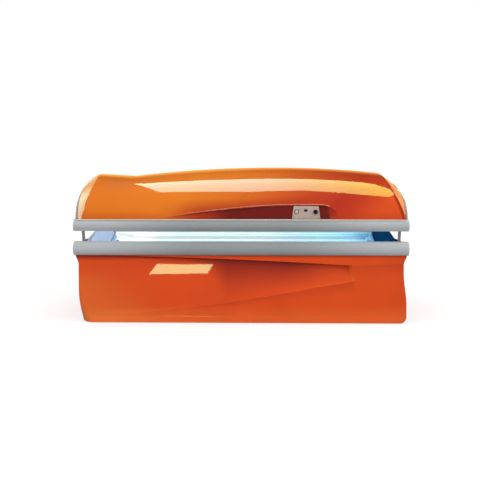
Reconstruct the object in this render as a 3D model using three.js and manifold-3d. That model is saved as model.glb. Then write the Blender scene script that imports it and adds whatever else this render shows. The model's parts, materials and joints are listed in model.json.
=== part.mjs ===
import * as THREE from "three";
import { mergeVertices } from "three/addons/utils/BufferGeometryUtils.js";
import Module from "manifold-3d";

const wasm = await Module();
wasm.setup();

// Clamshell tanning bed in millimetres, +Z up. X runs along the bed, the front faces -Y, and the origin
// lies on the floor under the middle of the bed. The canopy is modelled closed.

// Overall sizes
const LENGTH = 2250;              // over the caps of the rails
const DEPTH = 1120;               // from the face of the rails to the back of the canopy
const FIT = 0.3;                  // clearance at seats and running fits
const FLOOR_GAP = 12;             // below the skirt of the bench

// Rails along the front of the bench and the canopy
const RAIL_DEPTH = 78;
const RAIL_BULGE = 24;            // how far the rail's face is rounded forward
const RAIL_CAP = 20;
const RAIL_CAP_ROUND = 6;
const RAIL_STEPS = 10;            // facets across the rail's face
const BENCH_RAIL_BOTTOM = 458;
const BENCH_RAIL_HEIGHT = 91;
const RAIL_GAP = 71;              // between the two rails when the bed is closed
const CANOPY_RAIL_HEIGHT = 80;

// End frames, beams and lampholder strips
const END_FRAME = 6;
const HOLDER = 18;
const STRUT_BAY = 40;             // from the end frame to the face that carries a strut
const BEAM_DEPTH = 32;
const REAR_BEAM_DEPTH = 44;
const BENCH_BEAM_HEIGHT = 105;
const BENCH_BEAM_DROP = 4;        // beam top below the bench rail's top
const CANOPY_BEAM_HEIGHT = 50;
const CANOPY_LIFT = 20;           // canopy skirt above the underside of the canopy rail

// Rear hinge
const HINGE_SETBACK = 70;         // hinge axis in front of the canopy's back
const HINGE_DROP = 20;            // hinge axis below the canopy rail
const HINGE_END = 410;            // hinges from the ends of the frame
const HINGE_BEAM_GAP = 10;        // rear beams in front of the hinge axis
const HINGE_PIN_RADIUS = 10;
const HINGE_EYE_RADIUS = 18;
const HINGE_ARM_WIDTH = 44;
const HINGE_LUG = 18;
const HINGE_PIN_OVERHANG = 4;
const HINGE_SIDES = 12;
const HINGE_EYE_STEPS = 10;

// Canopy section: a rounded arch whose crest changes along the bed
const ARCH_POWER = 2.3;
const COVER_SETBACK = 6;          // cover's front behind the rail's face
const CREST_LEFT = 304;           // crest heights above the canopy rail
const CREST_DIP = 288;
const CREST_TOP = 352;
const CREST_RIGHT = 310;
const CREST_LEFT_X = -950;
const CREST_DIP_X = -771;
const CREST_TOP_X = 250;
const CREST_RIGHT_X = 1020;
const COVER_WALL = 5;
const CHAMFER_LEFT = 50;          // length over which the cover draws in at its left end
const CHAMFER_LEFT_DROP = 34;     // and how far
const CHAMFER_RIGHT = 83;         // the same at the right end, on the crest
const CHAMFER_RIGHT_DROP = 65;
const CHAMFER_RIGHT_LOW = 16;     // and at the rail
const CHAMFER_RIGHT_LOW_DROP = 10;
const CHAMFER_BEND = 0.3;         // 0 is a flat chamfer, 1 a hollow one
const CHAMFER_SHARES = [0, 0.12, 0.3, 0.6, 1];
const COVER_SEAM_Y = 190;         // front and rear covers meet here, behind the crest
const COVER_STEP = 190;           // longest facet along the cover
const ANGLE_STEPS = 6;
const SCOOP_ROWS = 2;
const FRONT_ROWS = 8;
const CREST_ROWS = 2;
const REAR_ROWS = 7;

// Scooped recess above the canopy rail
const SCOOP_LEFT_X = -512;
const SCOOP_PEAK_X = 330;
const SCOOP_RIGHT_X = 636;
const SCOOP_SIDE = 40;
const SCOOP_RISE = 95;            // lip above the rail at its highest
const SCOOP_START = 12;
const SCOOP_SETBACK = 54;         // recess floor behind the rail's face
const SCOOP_FADE = 660;           // length over which the floor sinks in from the left
const SCOOP_LIP = 14;

// Canopy end caps
const END_CAP = 13;
const END_FLANGE = 4;
const END_FLANGE_ANGLE = 44;      // the flange starts this many degrees above the horizontal

// Lamps, reflectors and acrylic sheets
const ACRYLIC = 8;
const CANOPY_ARCH_START = 11;     // ends of the arch above the canopy skirt
const CANOPY_ARCH_RISE = 249;
const BENCH_ACRYLIC_DROP = 14;    // edge of the bed below the bench rail's top
const BENCH_SAG = 80;
const LAMP_COUNT = 7;
const LAMP_RADIUS = 19;
const LAMP_CAP_RADIUS = 15;
const LAMP_CAP_LENGTH = 26;
const LAMP_SIDES = 10;
const LAMP_SPACE = 33;            // lamp axis behind the acrylic
const REFLECTOR_SPACE = 58;       // reflector behind the acrylic
const REFLECTOR = 2;
const CANOPY_LAMP_EDGE = 40;      // outer lamps above the ends of the reflector
const CANOPY_LIGHT_CLEAR = 1;     // degrees between the beams and the ends of the reflector
const BENCH_LAMP_PITCH = 125;
const BENCH_HOLDER_REACH = 425;
const SHEET_STEPS = 14;           // facets across a curved sheet
const TRIM_WIDTH = 30;
const TRIM_THICK = 30;
const TRIM_RISE = 70;             // crown of an end trim above the edges of the bed

// Bench front panel
const PANEL_SETBACK = 24;         // panel lip behind the rail's face
const PANEL_LEAN = 4;
const PANEL_WALL = 5;
const PANEL_INSET = 7;            // bench ends inside the ends of the rail
const KICK_HEIGHT = 35;
const KICK = 8;
const LIP_LEFT_DROP = 12;         // lip's lower edge below the rail, at the left
const LIP_RIGHT_DROP = 74;        // and at the right
const LIP_LEFT_X = -1085;
const LIP_RIGHT_X = 721;
const LIP_POWER = 1.8;
const LIP_EDGE = 10;
const LIP_FLARE = 20;             // lip stands out at the ends of the bench
const LIP_FLARE_HEIGHT = 63;
const LIP_FLARE_LENGTH = 150;
const CREASE_LEFT_X = -1017;
const CREASE_RIGHT_X = 755;
const CREASE_LEFT_Z = 54;
const CREASE_RIGHT_Z = 290;
const CREASE_POWER = 1.6;
const WEDGE_DEPTH = 46;
const WEDGE_POWER = 0.8;
const WEDGE_END_X = 734;          // right end of the wedge at its top
const WEDGE_END_SLANT = 0.29;
const WEDGE_END_WIDTH = 28;
const CORNER = 27;                // front corners of the bench
const HULL_WIDTH = 83;            // extra rounding of the lower left corner
const HULL_DEPTH = 203;
const HULL_HEIGHT = 230;
const FLARE = 20;                 // lower right corner flares out
const FLARE_TOP = 340;
const FLARE_BOTTOM = 115;
const FLARE_CORNER = 45;
const PANEL_STEP = 190;           // longest facet along the panel
const SKIRT_ROWS = 3;             // rows of facets below the crease
const WEDGE_ROWS = 6;             // and from the crease to the lip
const CORNER_SHARES = [0, 0.06, 0.24, 0.55, 1];
const HULL_SHARES = [0.25, 0.6, 1];
const WEDGE_END_SHARES = [-1, -0.5, 0, 0.5, 1, 1.5];

// Bench end and rear panels
const END_PANEL = 4;
const END_PANEL_GAP = 1;
const REAR_PANEL_INSET = 12;
const REAR_PANEL = 4;
const REAR_PANEL_RISE = 11;       // rear panel's top above the bench rail's
const REAR_LEDGE = 4;
const REAR_NOTCH = 6;

// Base frame
const FOOT_HEIGHT = 30;
const FOOT_RADIUS = 30;
const FOOT_PAD = 10;
const FOOT_STEM = 11;
const FOOT_END = 130;             // from the end of the frame
const FOOT_SIDES = 16;
const SILL_HEIGHT = 50;
const SILL_WIDTH = 40;
const SILL_INSET = 42;            // front sill behind the front beam's face
const SILL_WALL = 4;
const CROSS_HEIGHT = 40;
const CROSS_WIDTH = 60;
const CROSS_END = 230;            // outer cross members from the end of the frame
const CROSS_INSET = 70;           // inner cross members inside the ends of the ballast box
const OUTRIGGER_Y = [-20, 380];
const OUTRIGGER_WIDTH = 40;
const OUTRIGGER_Z = 300;
const OUTRIGGER_HEIGHT = 30;
const STANDOFF_END = 210;         // from the end of the frame
const STANDOFF_WIDTH = 40;
const STANDOFF_HEIGHT = 30;

// Gas struts
const STRUT_SPACE = 16;           // strut axis inside the end panel
const STRUT_PIN_Z = 60;
const STRUT_PIN_RADIUS = 8;
const STRUT_PIN_TIP = 3;          // pin beyond the strut's eye
const STRUT_BRACKET = 44;
const STRUT_EYE_LENGTH = 16;
const STRUT_EYE_RADIUS = 15;
const STRUT_TUBE_RADIUS = 11;
const STRUT_TUBE_SHORT = 40;      // tube ends this far below the upper pivot
const STRUT_NECK_RADIUS = 7;
const STRUT_NECK = 38;            // slim neck beside the bracket
const STRUT_BORE_START = 42;
const STRUT_ROD_START = 46;
const STRUT_ROD_RADIUS = 6;
const STRUT_ROD_EYE = 12;
const STRUT_SIDES = 10;
const STRUT_EYE_SIDES = 16;

// Control gear, fan and mains inlet inside and behind the bench
const BALLAST_LENGTH = 840;
const BALLAST_WIDTH = 340;
const BALLAST_HEIGHT = 120;
const BALLAST_GROOVES = 5;
const BALLAST_GROOVE = 12;
const FAN_SIZE = 300;
const FAN_DEPTH = 60;
const FAN_Z = 270;
const FAN_BORE = 132;
const FAN_TIP_GAP = 7;
const FAN_HUB = 36;
const FAN_SPIDER = 13;
const FAN_ARM = 18;
const FAN_ARMS = 3;
const FAN_BLADES = 7;
const FAN_CHORD = 48;
const FAN_BLADE = 3;
const FAN_PITCH = 35;
const FAN_SHAFT = 6;
const FAN_GAP = 3;
const FAN_SIDES = 32;
const FAN_HUB_SIDES = 16;
const GRILLE_SLOT = 14;
const GRILLE_PITCH = 26;
const GRILLE_ROWS = 4;            // above and below the middle slot
const INLET_END = 300;            // from the left end of the bench
const INLET_Z = 120;
const INLET_WIDTH = 80;
const INLET_HEIGHT = 56;
const INLET_FLANGE = 4;
const INLET_DEPTH = 9;
const INLET_RIM = 10;
const INLET_WALL = 6;             // around the socket

// Control panel in the canopy recess
const CONTROL_X = 441;
const CONTROL_TOP_WIDTH = 168;
const CONTROL_BOTTOM_WIDTH = 190;
const CONTROL_HEIGHT = 87;
const CONTROL_RAISE = 2;          // above the rail
const CONTROL_THICK = 16;
const KNOB_X = 503;
const KNOB_RADIUS = 15;
const KNOB_LENGTH = 17;
const KNOB_RIDGE = 5;
const KNOB_RIDGE_PROUD = 3.4;
const KNOB_RIDGE_REACH = 13.5;    // from the knob's middle
const BUTTON_X = 377;
const BUTTON_RADIUS = 14;
const BUTTON_PROUD = 7;
const BUTTON_DEPTH = 10;
const CONTROL_SIDES = 20;
const CONTROL_ROW = 50;           // knob and button above the rail
const DISPLAY_X = 438;
const DISPLAY_ROW = 60;
const DISPLAY_WIDTH = 26;
const DISPLAY_HEIGHT = 18;
const DISPLAY_PROUD = 2;
const DISPLAY_SIDES = 24;

// Levels and places that follow from the sizes above
const front = -DEPTH / 2;
const back = DEPTH / 2;
const railEnd = LENGTH / 2 - RAIL_CAP;
const railBack = front + RAIL_DEPTH;
const benchRailTop = BENCH_RAIL_BOTTOM + BENCH_RAIL_HEIGHT;
const canopyRailBottom = benchRailTop + RAIL_GAP;
const canopyRailTop = canopyRailBottom + CANOPY_RAIL_HEIGHT;
const canopyBase = canopyRailBottom + CANOPY_LIFT;
const coverEnd = railEnd - FIT;
const panelEnd = railEnd - PANEL_INSET;
const endPanelInner = panelEnd - END_PANEL;
const strutX = endPanelInner - STRUT_SPACE;
const strutFace = strutX - STRUT_EYE_LENGTH / 2 - FIT;
const frameOut = strutFace - STRUT_BAY;
const frameIn = frameOut - END_FRAME;
const hingeX = frameOut - HINGE_END;
const holderOut = frameIn - FIT;
const lampEnd = holderOut - HOLDER - FIT;
const hingeY = back - HINGE_SETBACK;
const hingeZ = canopyRailBottom - HINGE_DROP;
const beamFront = railBack + FIT;
const beamBack = beamFront + BEAM_DEPTH;
const rearBeamBack = hingeY - HINGE_BEAM_GAP;
const rearBeamFront = rearBeamBack - REAR_BEAM_DEPTH;
const bedMid = (beamBack + rearBeamFront) / 2;
const bedHalf = (rearBeamFront - beamBack) / 2 - FIT;
const canopyMid = (front + COVER_SETBACK + back) / 2;
const canopyHalf = back - canopyMid;
const rearPanelOut = back - REAR_PANEL_INSET;
const rearPanelIn = rearPanelOut - REAR_PANEL;
const rearPanelTop = benchRailTop + REAR_PANEL_RISE;

// Arch of the canopy sheet and shallow bowl of the bench sheet, both as circles
const archRadius = (bedHalf ** 2 + CANOPY_ARCH_RISE ** 2) / (2 * CANOPY_ARCH_RISE);
const archZ = canopyBase + CANOPY_ARCH_START + CANOPY_ARCH_RISE - archRadius;
const archAngle = Math.asin((canopyBase + CANOPY_ARCH_START - archZ) / archRadius);
const bowlEdge = benchRailTop - BENCH_ACRYLIC_DROP;
const bowlRadius = (bedHalf ** 2 + BENCH_SAG ** 2) / (2 * BENCH_SAG);
const bowlZ = bowlEdge + bowlRadius - BENCH_SAG;
const bowlAngle = Math.asin(bedHalf / (bowlRadius + ACRYLIC));

// Strut pivots: both lie equally far from the hinge, so a strut swings half as far as the canopy
const strutTopY = (beamFront + beamBack) / 2;
const strutTopZ = canopyBase + CANOPY_BEAM_HEIGHT / 2;
const strutReach = Math.hypot(strutTopY - hingeY, strutTopZ - hingeZ);
const strutPinY = hingeY - Math.sqrt(strutReach ** 2 - (hingeZ - STRUT_PIN_Z) ** 2);
const strutLength = Math.hypot(strutTopY - strutPinY, strutTopZ - STRUT_PIN_Z);
const strutLean = Math.atan2(strutPinY - strutTopY, strutTopZ - STRUT_PIN_Z);

// Small helpers for numbers
const WELD = 1e-4;
const QUARTER = Math.PI / 2;
const clamp = THREE.MathUtils.clamp;
const lerp = THREE.MathUtils.lerp;
const smooth = THREE.MathUtils.smoothstep;
const radians = THREE.MathUtils.degToRad;

// Evenly fills the spaces between marks, so that no step is longer than the given one
function spread(marks, step) {
  const sorted = [...marks].sort((a, b) => a - b);
  const filled = [sorted[0]];
  for (let i = 1; i < sorted.length; i += 1) {
    const span = sorted[i] - sorted[i - 1];
    const count = Math.max(1, Math.ceil(span / step));
    for (let k = 1; k <= count; k += 1) {
      filled.push(sorted[i - 1] + (span * k) / count);
    }
  }
  return filled;
}

function signedVolume(geometry) {
  const at = geometry.attributes.position;
  const index = geometry.index.array;
  const a = new THREE.Vector3();
  const b = new THREE.Vector3();
  const c = new THREE.Vector3();
  let sum = 0;
  for (let i = 0; i < index.length; i += 3) {
    a.fromBufferAttribute(at, index[i]);
    b.fromBufferAttribute(at, index[i + 1]);
    c.fromBufferAttribute(at, index[i + 2]);
    sum += a.dot(b.cross(c)) / 6;
  }
  return sum;
}

// Welds a geometry into one closed skin whose faces point out
function closed(geometry) {
  const bare = geometry.clone();
  bare.deleteAttribute("normal");
  bare.deleteAttribute("uv");
  const welded = mergeVertices(bare, WELD);
  const corners = welded.index.array;
  const kept = [];
  for (let i = 0; i < corners.length; i += 3) {
    const [a, b, c] = [corners[i], corners[i + 1], corners[i + 2]];
    if (a !== b && b !== c && c !== a) {
      kept.push(a, b, c);
    }
  }
  welded.setIndex(kept);
  if (signedVolume(welded) < 0) {
    const flipped = [];
    for (let i = 0; i < kept.length; i += 3) {
      flipped.push(kept[i], kept[i + 2], kept[i + 1]);
    }
    welded.setIndex(flipped);
  }
  return welded;
}

function toSolid(geometry) {
  const ready = closed(geometry);
  const vertProperties = Float32Array.from(ready.attributes.position.array);
  const triVerts = Uint32Array.from(ready.index.array);
  return new wasm.Manifold(new wasm.Mesh({ numProp: 3, vertProperties, triVerts }));
}

function fromSolid(solid) {
  const mesh = solid.getMesh();
  const geometry = new THREE.BufferGeometry();
  geometry.setAttribute("position", new THREE.BufferAttribute(mesh.vertProperties, 3));
  geometry.setIndex(Array.from(mesh.triVerts));
  return geometry;
}

function join(pieces) {
  const solids = pieces.map(toSolid);
  return fromSolid(solids.reduce((whole, next) => whole.add(next)));
}

function cut(piece, tools) {
  const solids = tools.map(toSolid);
  return fromSolid(solids.reduce((rest, tool) => rest.subtract(tool), toSolid(piece)));
}

function block(x0, x1, y0, y1, z0, z1) {
  const geometry = new THREE.BoxGeometry(Math.abs(x1 - x0), y1 - y0, z1 - z0);
  geometry.translate((x0 + x1) / 2, (y0 + y1) / 2, (z0 + z1) / 2);
  return geometry;
}

function extruded(outline, depth) {
  const shape = new THREE.Shape(outline.map(([a, b]) => new THREE.Vector2(a, b)));
  return new THREE.ExtrudeGeometry(shape, { depth, bevelEnabled: false, steps: 1 });
}

// Outline in Y and Z, extruded between two places on X
function prismAlongX(outline, x0, x1) {
  const turn = new THREE.Matrix4().makeBasis(
    new THREE.Vector3(0, 1, 0),
    new THREE.Vector3(0, 0, 1),
    new THREE.Vector3(1, 0, 0),
  );
  const geometry = extruded(outline, Math.abs(x1 - x0));
  geometry.applyMatrix4(turn);
  geometry.translate(Math.min(x0, x1), 0, 0);
  return geometry;
}

// Outline in X and Z, extruded between two places on Y
function prismAlongY(outline, y0, y1) {
  const turn = new THREE.Matrix4().makeBasis(
    new THREE.Vector3(1, 0, 0),
    new THREE.Vector3(0, 0, 1),
    new THREE.Vector3(0, -1, 0),
  );
  const geometry = extruded(outline, y1 - y0);
  geometry.applyMatrix4(turn);
  geometry.translate(0, y1, 0);
  return geometry;
}

function roundAlongX(radius, x0, x1, y, z, sides) {
  const geometry = new THREE.CylinderGeometry(radius, radius, Math.abs(x1 - x0), sides);
  geometry.rotateZ(QUARTER);
  geometry.translate((x0 + x1) / 2, y, z);
  return geometry;
}

function roundAlongY(radius, x, y0, y1, z, sides) {
  const geometry = new THREE.CylinderGeometry(radius, radius, y1 - y0, sides);
  geometry.translate(x, (y0 + y1) / 2, z);
  return geometry;
}

// Profile of radius and height, turned about Z
function turned(profile, sides) {
  const points = profile.map(([r, z]) => new THREE.Vector2(r, z));
  const geometry = new THREE.LatheGeometry(points, sides);
  geometry.rotateX(QUARTER);
  return geometry;
}

// Radius of a faceted bore whose flats clear a round pin
function boreRadius(pin, sides) {
  return (pin + FIT) / Math.cos(Math.PI / sides);
}

function arc(y, z, radius, from, to, steps) {
  const points = [];
  for (let i = 0; i <= steps; i += 1) {
    const angle = from + ((to - from) * i) / steps;
    points.push([y + radius * Math.cos(angle), z + radius * Math.sin(angle)]);
  }
  return points;
}

// Faceted arc whose flats, not its corners, lie on the circle
function arcAround(y, z, radius, from, to, steps) {
  return arc(y, z, radius / Math.cos((to - from) / steps / 2), from, to, steps);
}

function band(y, z, inner, outer, from, to, steps) {
  return [...arc(y, z, outer, from, to, steps), ...arc(y, z, inner, to, from, steps)];
}

// Band whose inner side clears a faceted sheet of the given radius
function bandAround(y, z, sheet, outer, from, to, steps) {
  return [...arc(y, z, outer, from, to, steps), ...arcAround(y, z, sheet + FIT, to, from, steps)];
}

// Folded channel: a web at one side and two flanges that reach to the tips
function channel(web, tips, low, high, wall) {
  const inside = web + Math.sign(tips - web) * wall;
  return [
    [web, low], [tips, low], [tips, low + wall], [inside, low + wall],
    [inside, high - wall], [tips, high - wall], [tips, high], [web, high],
  ];
}

// Closed wall between an outer and an inner grid of points
function shell(outer, inner) {
  const rows = outer.length;
  const columns = outer[0].length;
  const layer = rows * columns;
  const points = [...outer.flat(), ...inner.flat()];
  const index = [];
  const quad = (a, b, c, d) => index.push(a, b, c, a, c, d);
  const at = (row, column) => row * columns + column;
  for (let r = 0; r < rows - 1; r += 1) {
    for (let c = 0; c < columns - 1; c += 1) {
      quad(at(r, c), at(r, c + 1), at(r + 1, c + 1), at(r + 1, c));
      quad(layer + at(r + 1, c), layer + at(r + 1, c + 1), layer + at(r, c + 1), layer + at(r, c));
    }
  }
  const rim = [];
  for (let c = 0; c < columns - 1; c += 1) {
    rim.push(at(0, c));
  }
  for (let r = 0; r < rows - 1; r += 1) {
    rim.push(at(r, columns - 1));
  }
  for (let c = columns - 1; c > 0; c -= 1) {
    rim.push(at(rows - 1, c));
  }
  for (let r = rows - 1; r > 0; r -= 1) {
    rim.push(at(r, 0));
  }
  rim.forEach((a, i) => {
    const b = rim[(i + 1) % rim.length];
    quad(a, layer + a, layer + b, b);
  });
  const geometry = new THREE.BufferGeometry().setFromPoints(points);
  geometry.setIndex(index);
  return geometry;
}

// Materials
const finishes = {
  orange: { color: 0xd9541e, roughness: 0.18, metalness: 0.25 },
  aluminium: { color: 0xb4bcc2, roughness: 0.35, metalness: 0.85 },
  grey: { color: 0x9aa0a6, roughness: 0.5, metalness: 0.1 },
  steel: { color: 0x6f757b, roughness: 0.5, metalness: 0.7 },
  reflector: { color: 0xd8dde2, roughness: 0.15, metalness: 0.95 },
  lamp: { color: 0xe8f4ff, roughness: 0.2, metalness: 0 },
  acrylic: { color: 0xdff1f7, roughness: 0.05, metalness: 0 },
  panel: { color: 0xc3bdb3, roughness: 0.35, metalness: 0.6 },
  chrome: { color: 0xd0d3d6, roughness: 0.12, metalness: 1 },
  black: { color: 0x17181a, roughness: 0.45, metalness: 0 },
  rubber: { color: 0x222222, roughness: 0.9, metalness: 0 },
};

const bed = new THREE.Group();

function add(parent, name, geometry, finish) {
  const mesh = new THREE.Mesh(closed(geometry), new THREE.MeshStandardMaterial(finishes[finish]));
  mesh.name = name;
  parent.add(mesh);
}

// Calls make(name, sign) for the left and the right end
function bothEnds(make) {
  make("left", -1);
  make("right", 1);
}

// Rails

function railOutline(bottom, height) {
  const half = height / 2;
  const faceRadius = (half ** 2 + RAIL_BULGE ** 2) / (2 * RAIL_BULGE);
  const reach = Math.asin(half / faceRadius);
  const middle = bottom + half;
  const face = arc(front + faceRadius, middle, faceRadius, Math.PI - reach, Math.PI + reach, RAIL_STEPS);
  return [[railBack, bottom + height], ...face, [railBack, bottom]];
}

function railCap(bottom, height, side) {
  const outline = railOutline(bottom, height);
  const middle = new THREE.Vector2((front + railBack) / 2, bottom + height / 2);
  const shrink = 1 - RAIL_CAP_ROUND / (height / 2);
  const ring = (x, scale) => outline.map(([y, z]) => new THREE.Vector3(
    x,
    middle.x + (y - middle.x) * scale,
    middle.y + (z - middle.y) * scale,
  ));
  const rings = [
    ring(side * railEnd, 1),
    ring(side * (railEnd + RAIL_CAP - RAIL_CAP_ROUND), 1),
    ring(side * (railEnd + RAIL_CAP), shrink),
  ];
  const count = outline.length;
  const index = [];
  const lid = THREE.ShapeUtils.triangulateShape(outline.map(([y, z]) => new THREE.Vector2(y, z)), []);
  lid.forEach(([a, b, c]) => index.push(c, b, a, 2 * count + a, 2 * count + b, 2 * count + c));
  for (let r = 0; r < 2; r += 1) {
    for (let i = 0; i < count; i += 1) {
      const j = (i + 1) % count;
      const low = r * count;
      const high = low + count;
      index.push(low + i, low + j, high + j, low + i, high + j, high + i);
    }
  }
  const geometry = new THREE.BufferGeometry().setFromPoints(rings.flat());
  geometry.setIndex(index);
  return geometry;
}

function buildRails() {
  const rails = [
    ["bench_rail", BENCH_RAIL_BOTTOM, BENCH_RAIL_HEIGHT],
    ["canopy_rail", canopyRailBottom, CANOPY_RAIL_HEIGHT],
  ];
  rails.forEach(([name, bottom, height]) => {
    add(bed, name, prismAlongX(railOutline(bottom, height), -railEnd, railEnd), "aluminium");
    bothEnds((end, side) => add(bed, `${name}_cap_${end}`, railCap(bottom, height, side), "grey"));
  });
}

// Canopy covers

function crestAt(x) {
  let rise = 0;
  if (x < CREST_DIP_X) {
    rise = CREST_LEFT - (CREST_LEFT - CREST_DIP) * smooth(x, CREST_LEFT_X, CREST_DIP_X);
  } else if (x < CREST_TOP_X) {
    rise = CREST_TOP - (CREST_TOP - CREST_DIP) * ((x - CREST_TOP_X) / (CREST_DIP_X - CREST_TOP_X)) ** 2;
  } else {
    rise = CREST_TOP - (CREST_TOP - CREST_RIGHT) * ((x - CREST_TOP_X) / (CREST_RIGHT_X - CREST_TOP_X)) ** 2;
  }
  return canopyRailTop + rise;
}

// How far the cover draws in near its ends. The right chamfer widens from the rails up to the crest
function endDrop(x, angle) {
  const rise = x < 0 ? 1 : Math.max(0, Math.sin(angle));
  const length = x < 0 ? CHAMFER_LEFT : lerp(CHAMFER_RIGHT_LOW, CHAMFER_RIGHT, rise);
  const drop = x < 0 ? CHAMFER_LEFT_DROP : lerp(CHAMFER_RIGHT_LOW_DROP, CHAMFER_RIGHT_DROP, rise);
  const t = clamp((Math.abs(x) - coverEnd + length) / length, 0, 1);
  return drop * lerp(t, t * t, CHAMFER_BEND);
}

// Point of the arch at an angle: 0 at the front skirt, a half turn at the rear skirt
function archPoint(x, angle) {
  const drop = endDrop(x, angle);
  const c = Math.cos(angle);
  const s = Math.max(0, Math.sin(angle));
  const y = canopyMid - Math.sign(c) * Math.abs(c) ** (2 / ARCH_POWER) * (canopyHalf - drop);
  const z = canopyBase + s ** (2 / ARCH_POWER) * (crestAt(x) - drop - canopyBase);
  return new THREE.Vector3(x, y, z);
}

// Angle at which the front of the arch reaches a height, in a few steps because the chamfer follows the angle
function angleAtHeight(x, z) {
  let angle = 0;
  for (let i = 0; i < ANGLE_STEPS; i += 1) {
    const share = (z - canopyBase) / (crestAt(x) - endDrop(x, angle) - canopyBase);
    angle = Math.asin(clamp(share, 0, 1) ** (ARCH_POWER / 2));
  }
  return angle;
}

function angleBehind(x, y) {
  let angle = QUARTER;
  for (let i = 0; i < ANGLE_STEPS; i += 1) {
    const share = (y - canopyMid) / (canopyHalf - endDrop(x, angle));
    angle = Math.PI - Math.acos(clamp(share, 0, 1) ** (ARCH_POWER / 2));
  }
  return angle;
}

// Direction from the cover into the canopy
function inward(x, angle) {
  const step = 0.01;
  const ahead = archPoint(x, Math.min(Math.PI, angle + step));
  const behind = archPoint(x, Math.max(0, angle - step));
  const along = ahead.sub(behind).normalize();
  return new THREE.Vector3(0, along.z, -along.y);
}

function lipAt(x) {
  const t = clamp((x - SCOOP_LEFT_X) / (SCOOP_PEAK_X - SCOOP_LEFT_X), 0, 1);
  const rise = SCOOP_START + (SCOOP_RISE - SCOOP_START) * (1 - (1 - t) ** 2);
  const ending = smooth(x, SCOOP_RIGHT_X - SCOOP_SIDE, SCOOP_RIGHT_X + SCOOP_SIDE);
  return canopyRailTop + rise - (rise - SCOOP_START) * ending;
}

function scoopShare(x) {
  const fromLeft = smooth(x, SCOOP_LEFT_X - SCOOP_SIDE, SCOOP_LEFT_X + SCOOP_FADE);
  const toRight = 1 - smooth(x, SCOOP_RIGHT_X - SCOOP_SIDE, SCOOP_RIGHT_X);
  return fromLeft * toRight;
}

// Rows of one cover section from the front skirt to the seam, as points with their angles
function frontRows(x) {
  const bottom = canopyRailTop + FIT;
  const lip = lipAt(x);
  const floor = front + SCOOP_SETBACK;
  const rows = [];
  for (let i = 0; i <= SCOOP_ROWS; i += 1) {
    const z = bottom + ((lip - bottom) * i) / SCOOP_ROWS;
    const angle = angleAtHeight(x, z);
    const point = archPoint(x, angle);
    point.y += Math.max(0, floor - point.y) * scoopShare(x);
    rows.push({ point, angle });
  }
  const start = angleAtHeight(x, lip + SCOOP_LIP);
  for (let i = 0; i <= FRONT_ROWS; i += 1) {
    const angle = start + ((QUARTER - start) * i) / FRONT_ROWS;
    rows.push({ point: archPoint(x, angle), angle });
  }
  const seam = angleBehind(x, COVER_SEAM_Y - FIT / 2);
  for (let i = 1; i <= CREST_ROWS; i += 1) {
    const angle = QUARTER + ((seam - QUARTER) * i) / CREST_ROWS;
    rows.push({ point: archPoint(x, angle), angle });
  }
  return rows;
}

function rearRows(x) {
  const seam = angleBehind(x, COVER_SEAM_Y + FIT / 2);
  const rows = [];
  for (let i = 0; i <= REAR_ROWS; i += 1) {
    const angle = seam + ((Math.PI - seam) * i) / REAR_ROWS;
    rows.push({ point: archPoint(x, angle), angle });
  }
  return rows;
}

function coverColumns() {
  const marks = [CREST_LEFT_X, CREST_DIP_X, SCOOP_LEFT_X - SCOOP_SIDE, SCOOP_LEFT_X, CREST_TOP_X];
  marks.push(CONTROL_X - CONTROL_BOTTOM_WIDTH / 2, CONTROL_X + CONTROL_BOTTOM_WIDTH / 2);
  marks.push(SCOOP_RIGHT_X - SCOOP_SIDE, SCOOP_RIGHT_X - SCOOP_SIDE / 2, SCOOP_RIGHT_X);
  marks.push(SCOOP_RIGHT_X + SCOOP_SIDE);
  CHAMFER_SHARES.forEach((share) => marks.push(coverEnd - share * CHAMFER_RIGHT));
  marks.push(-coverEnd, -coverEnd + CHAMFER_LEFT / 2, -coverEnd + CHAMFER_LEFT);
  marks.push(-frameOut, -frameIn, frameIn, frameOut);
  return spread(marks, COVER_STEP);
}

// Moves every point of a set of rows into the canopy by a distance, and keeps the front off the rail
function sunk(x, rows, distance) {
  return rows.map(({ point, angle }) => {
    const moved = point.clone().addScaledVector(inward(x, angle), distance);
    const lowest = angle < QUARTER ? canopyRailTop + FIT : canopyBase;
    return moved.setZ(Math.max(moved.z, lowest));
  });
}

function coverShell(rowsAt) {
  const columns = coverColumns();
  const outer = columns.map((x) => sunk(x, rowsAt(x), 0));
  const inner = columns.map((x) => sunk(x, rowsAt(x), COVER_WALL));
  return shell(outer, inner);
}

function buildCovers() {
  add(bed, "canopy_cover", coverShell(frontRows), "orange");
  add(bed, "canopy_rear_cover", coverShell(rearRows), "orange");
}

// Grey arch at each end of the canopy, with a flange that lines the mouth of the tunnel
function buildEndCaps() {
  const innerRadius = archRadius - ACRYLIC;
  bothEnds((end, side) => {
    const x = side * coverEnd;
    const rows = [...frontRows(x), ...rearRows(x)];
    const outline = rows.map(({ point }) => [point.y, point.z]);
    outline.push([rearBeamBack, canopyBase]);
    outline.push(...arc(bedMid, archZ, innerRadius, archAngle, Math.PI - archAngle, SHEET_STEPS));
    outline.push([beamFront, canopyBase], [beamFront, canopyRailTop + FIT]);
    const plate = prismAlongX(outline, side * railEnd, side * (railEnd + END_CAP));
    const start = radians(END_FLANGE_ANGLE);
    const outerRadius = innerRadius + END_FLANGE;
    const lining = band(bedMid, archZ, innerRadius, outerRadius, start, Math.PI - start, SHEET_STEPS);
    const flange = prismAlongX(lining, side * (frameOut + FIT), side * (railEnd + END_CAP / 2));
    add(bed, `canopy_end_cap_${end}`, join([plate, flange]), "grey");
  });
}

// Canopy frame: two beams, an arch at each end and the hinge arms

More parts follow.
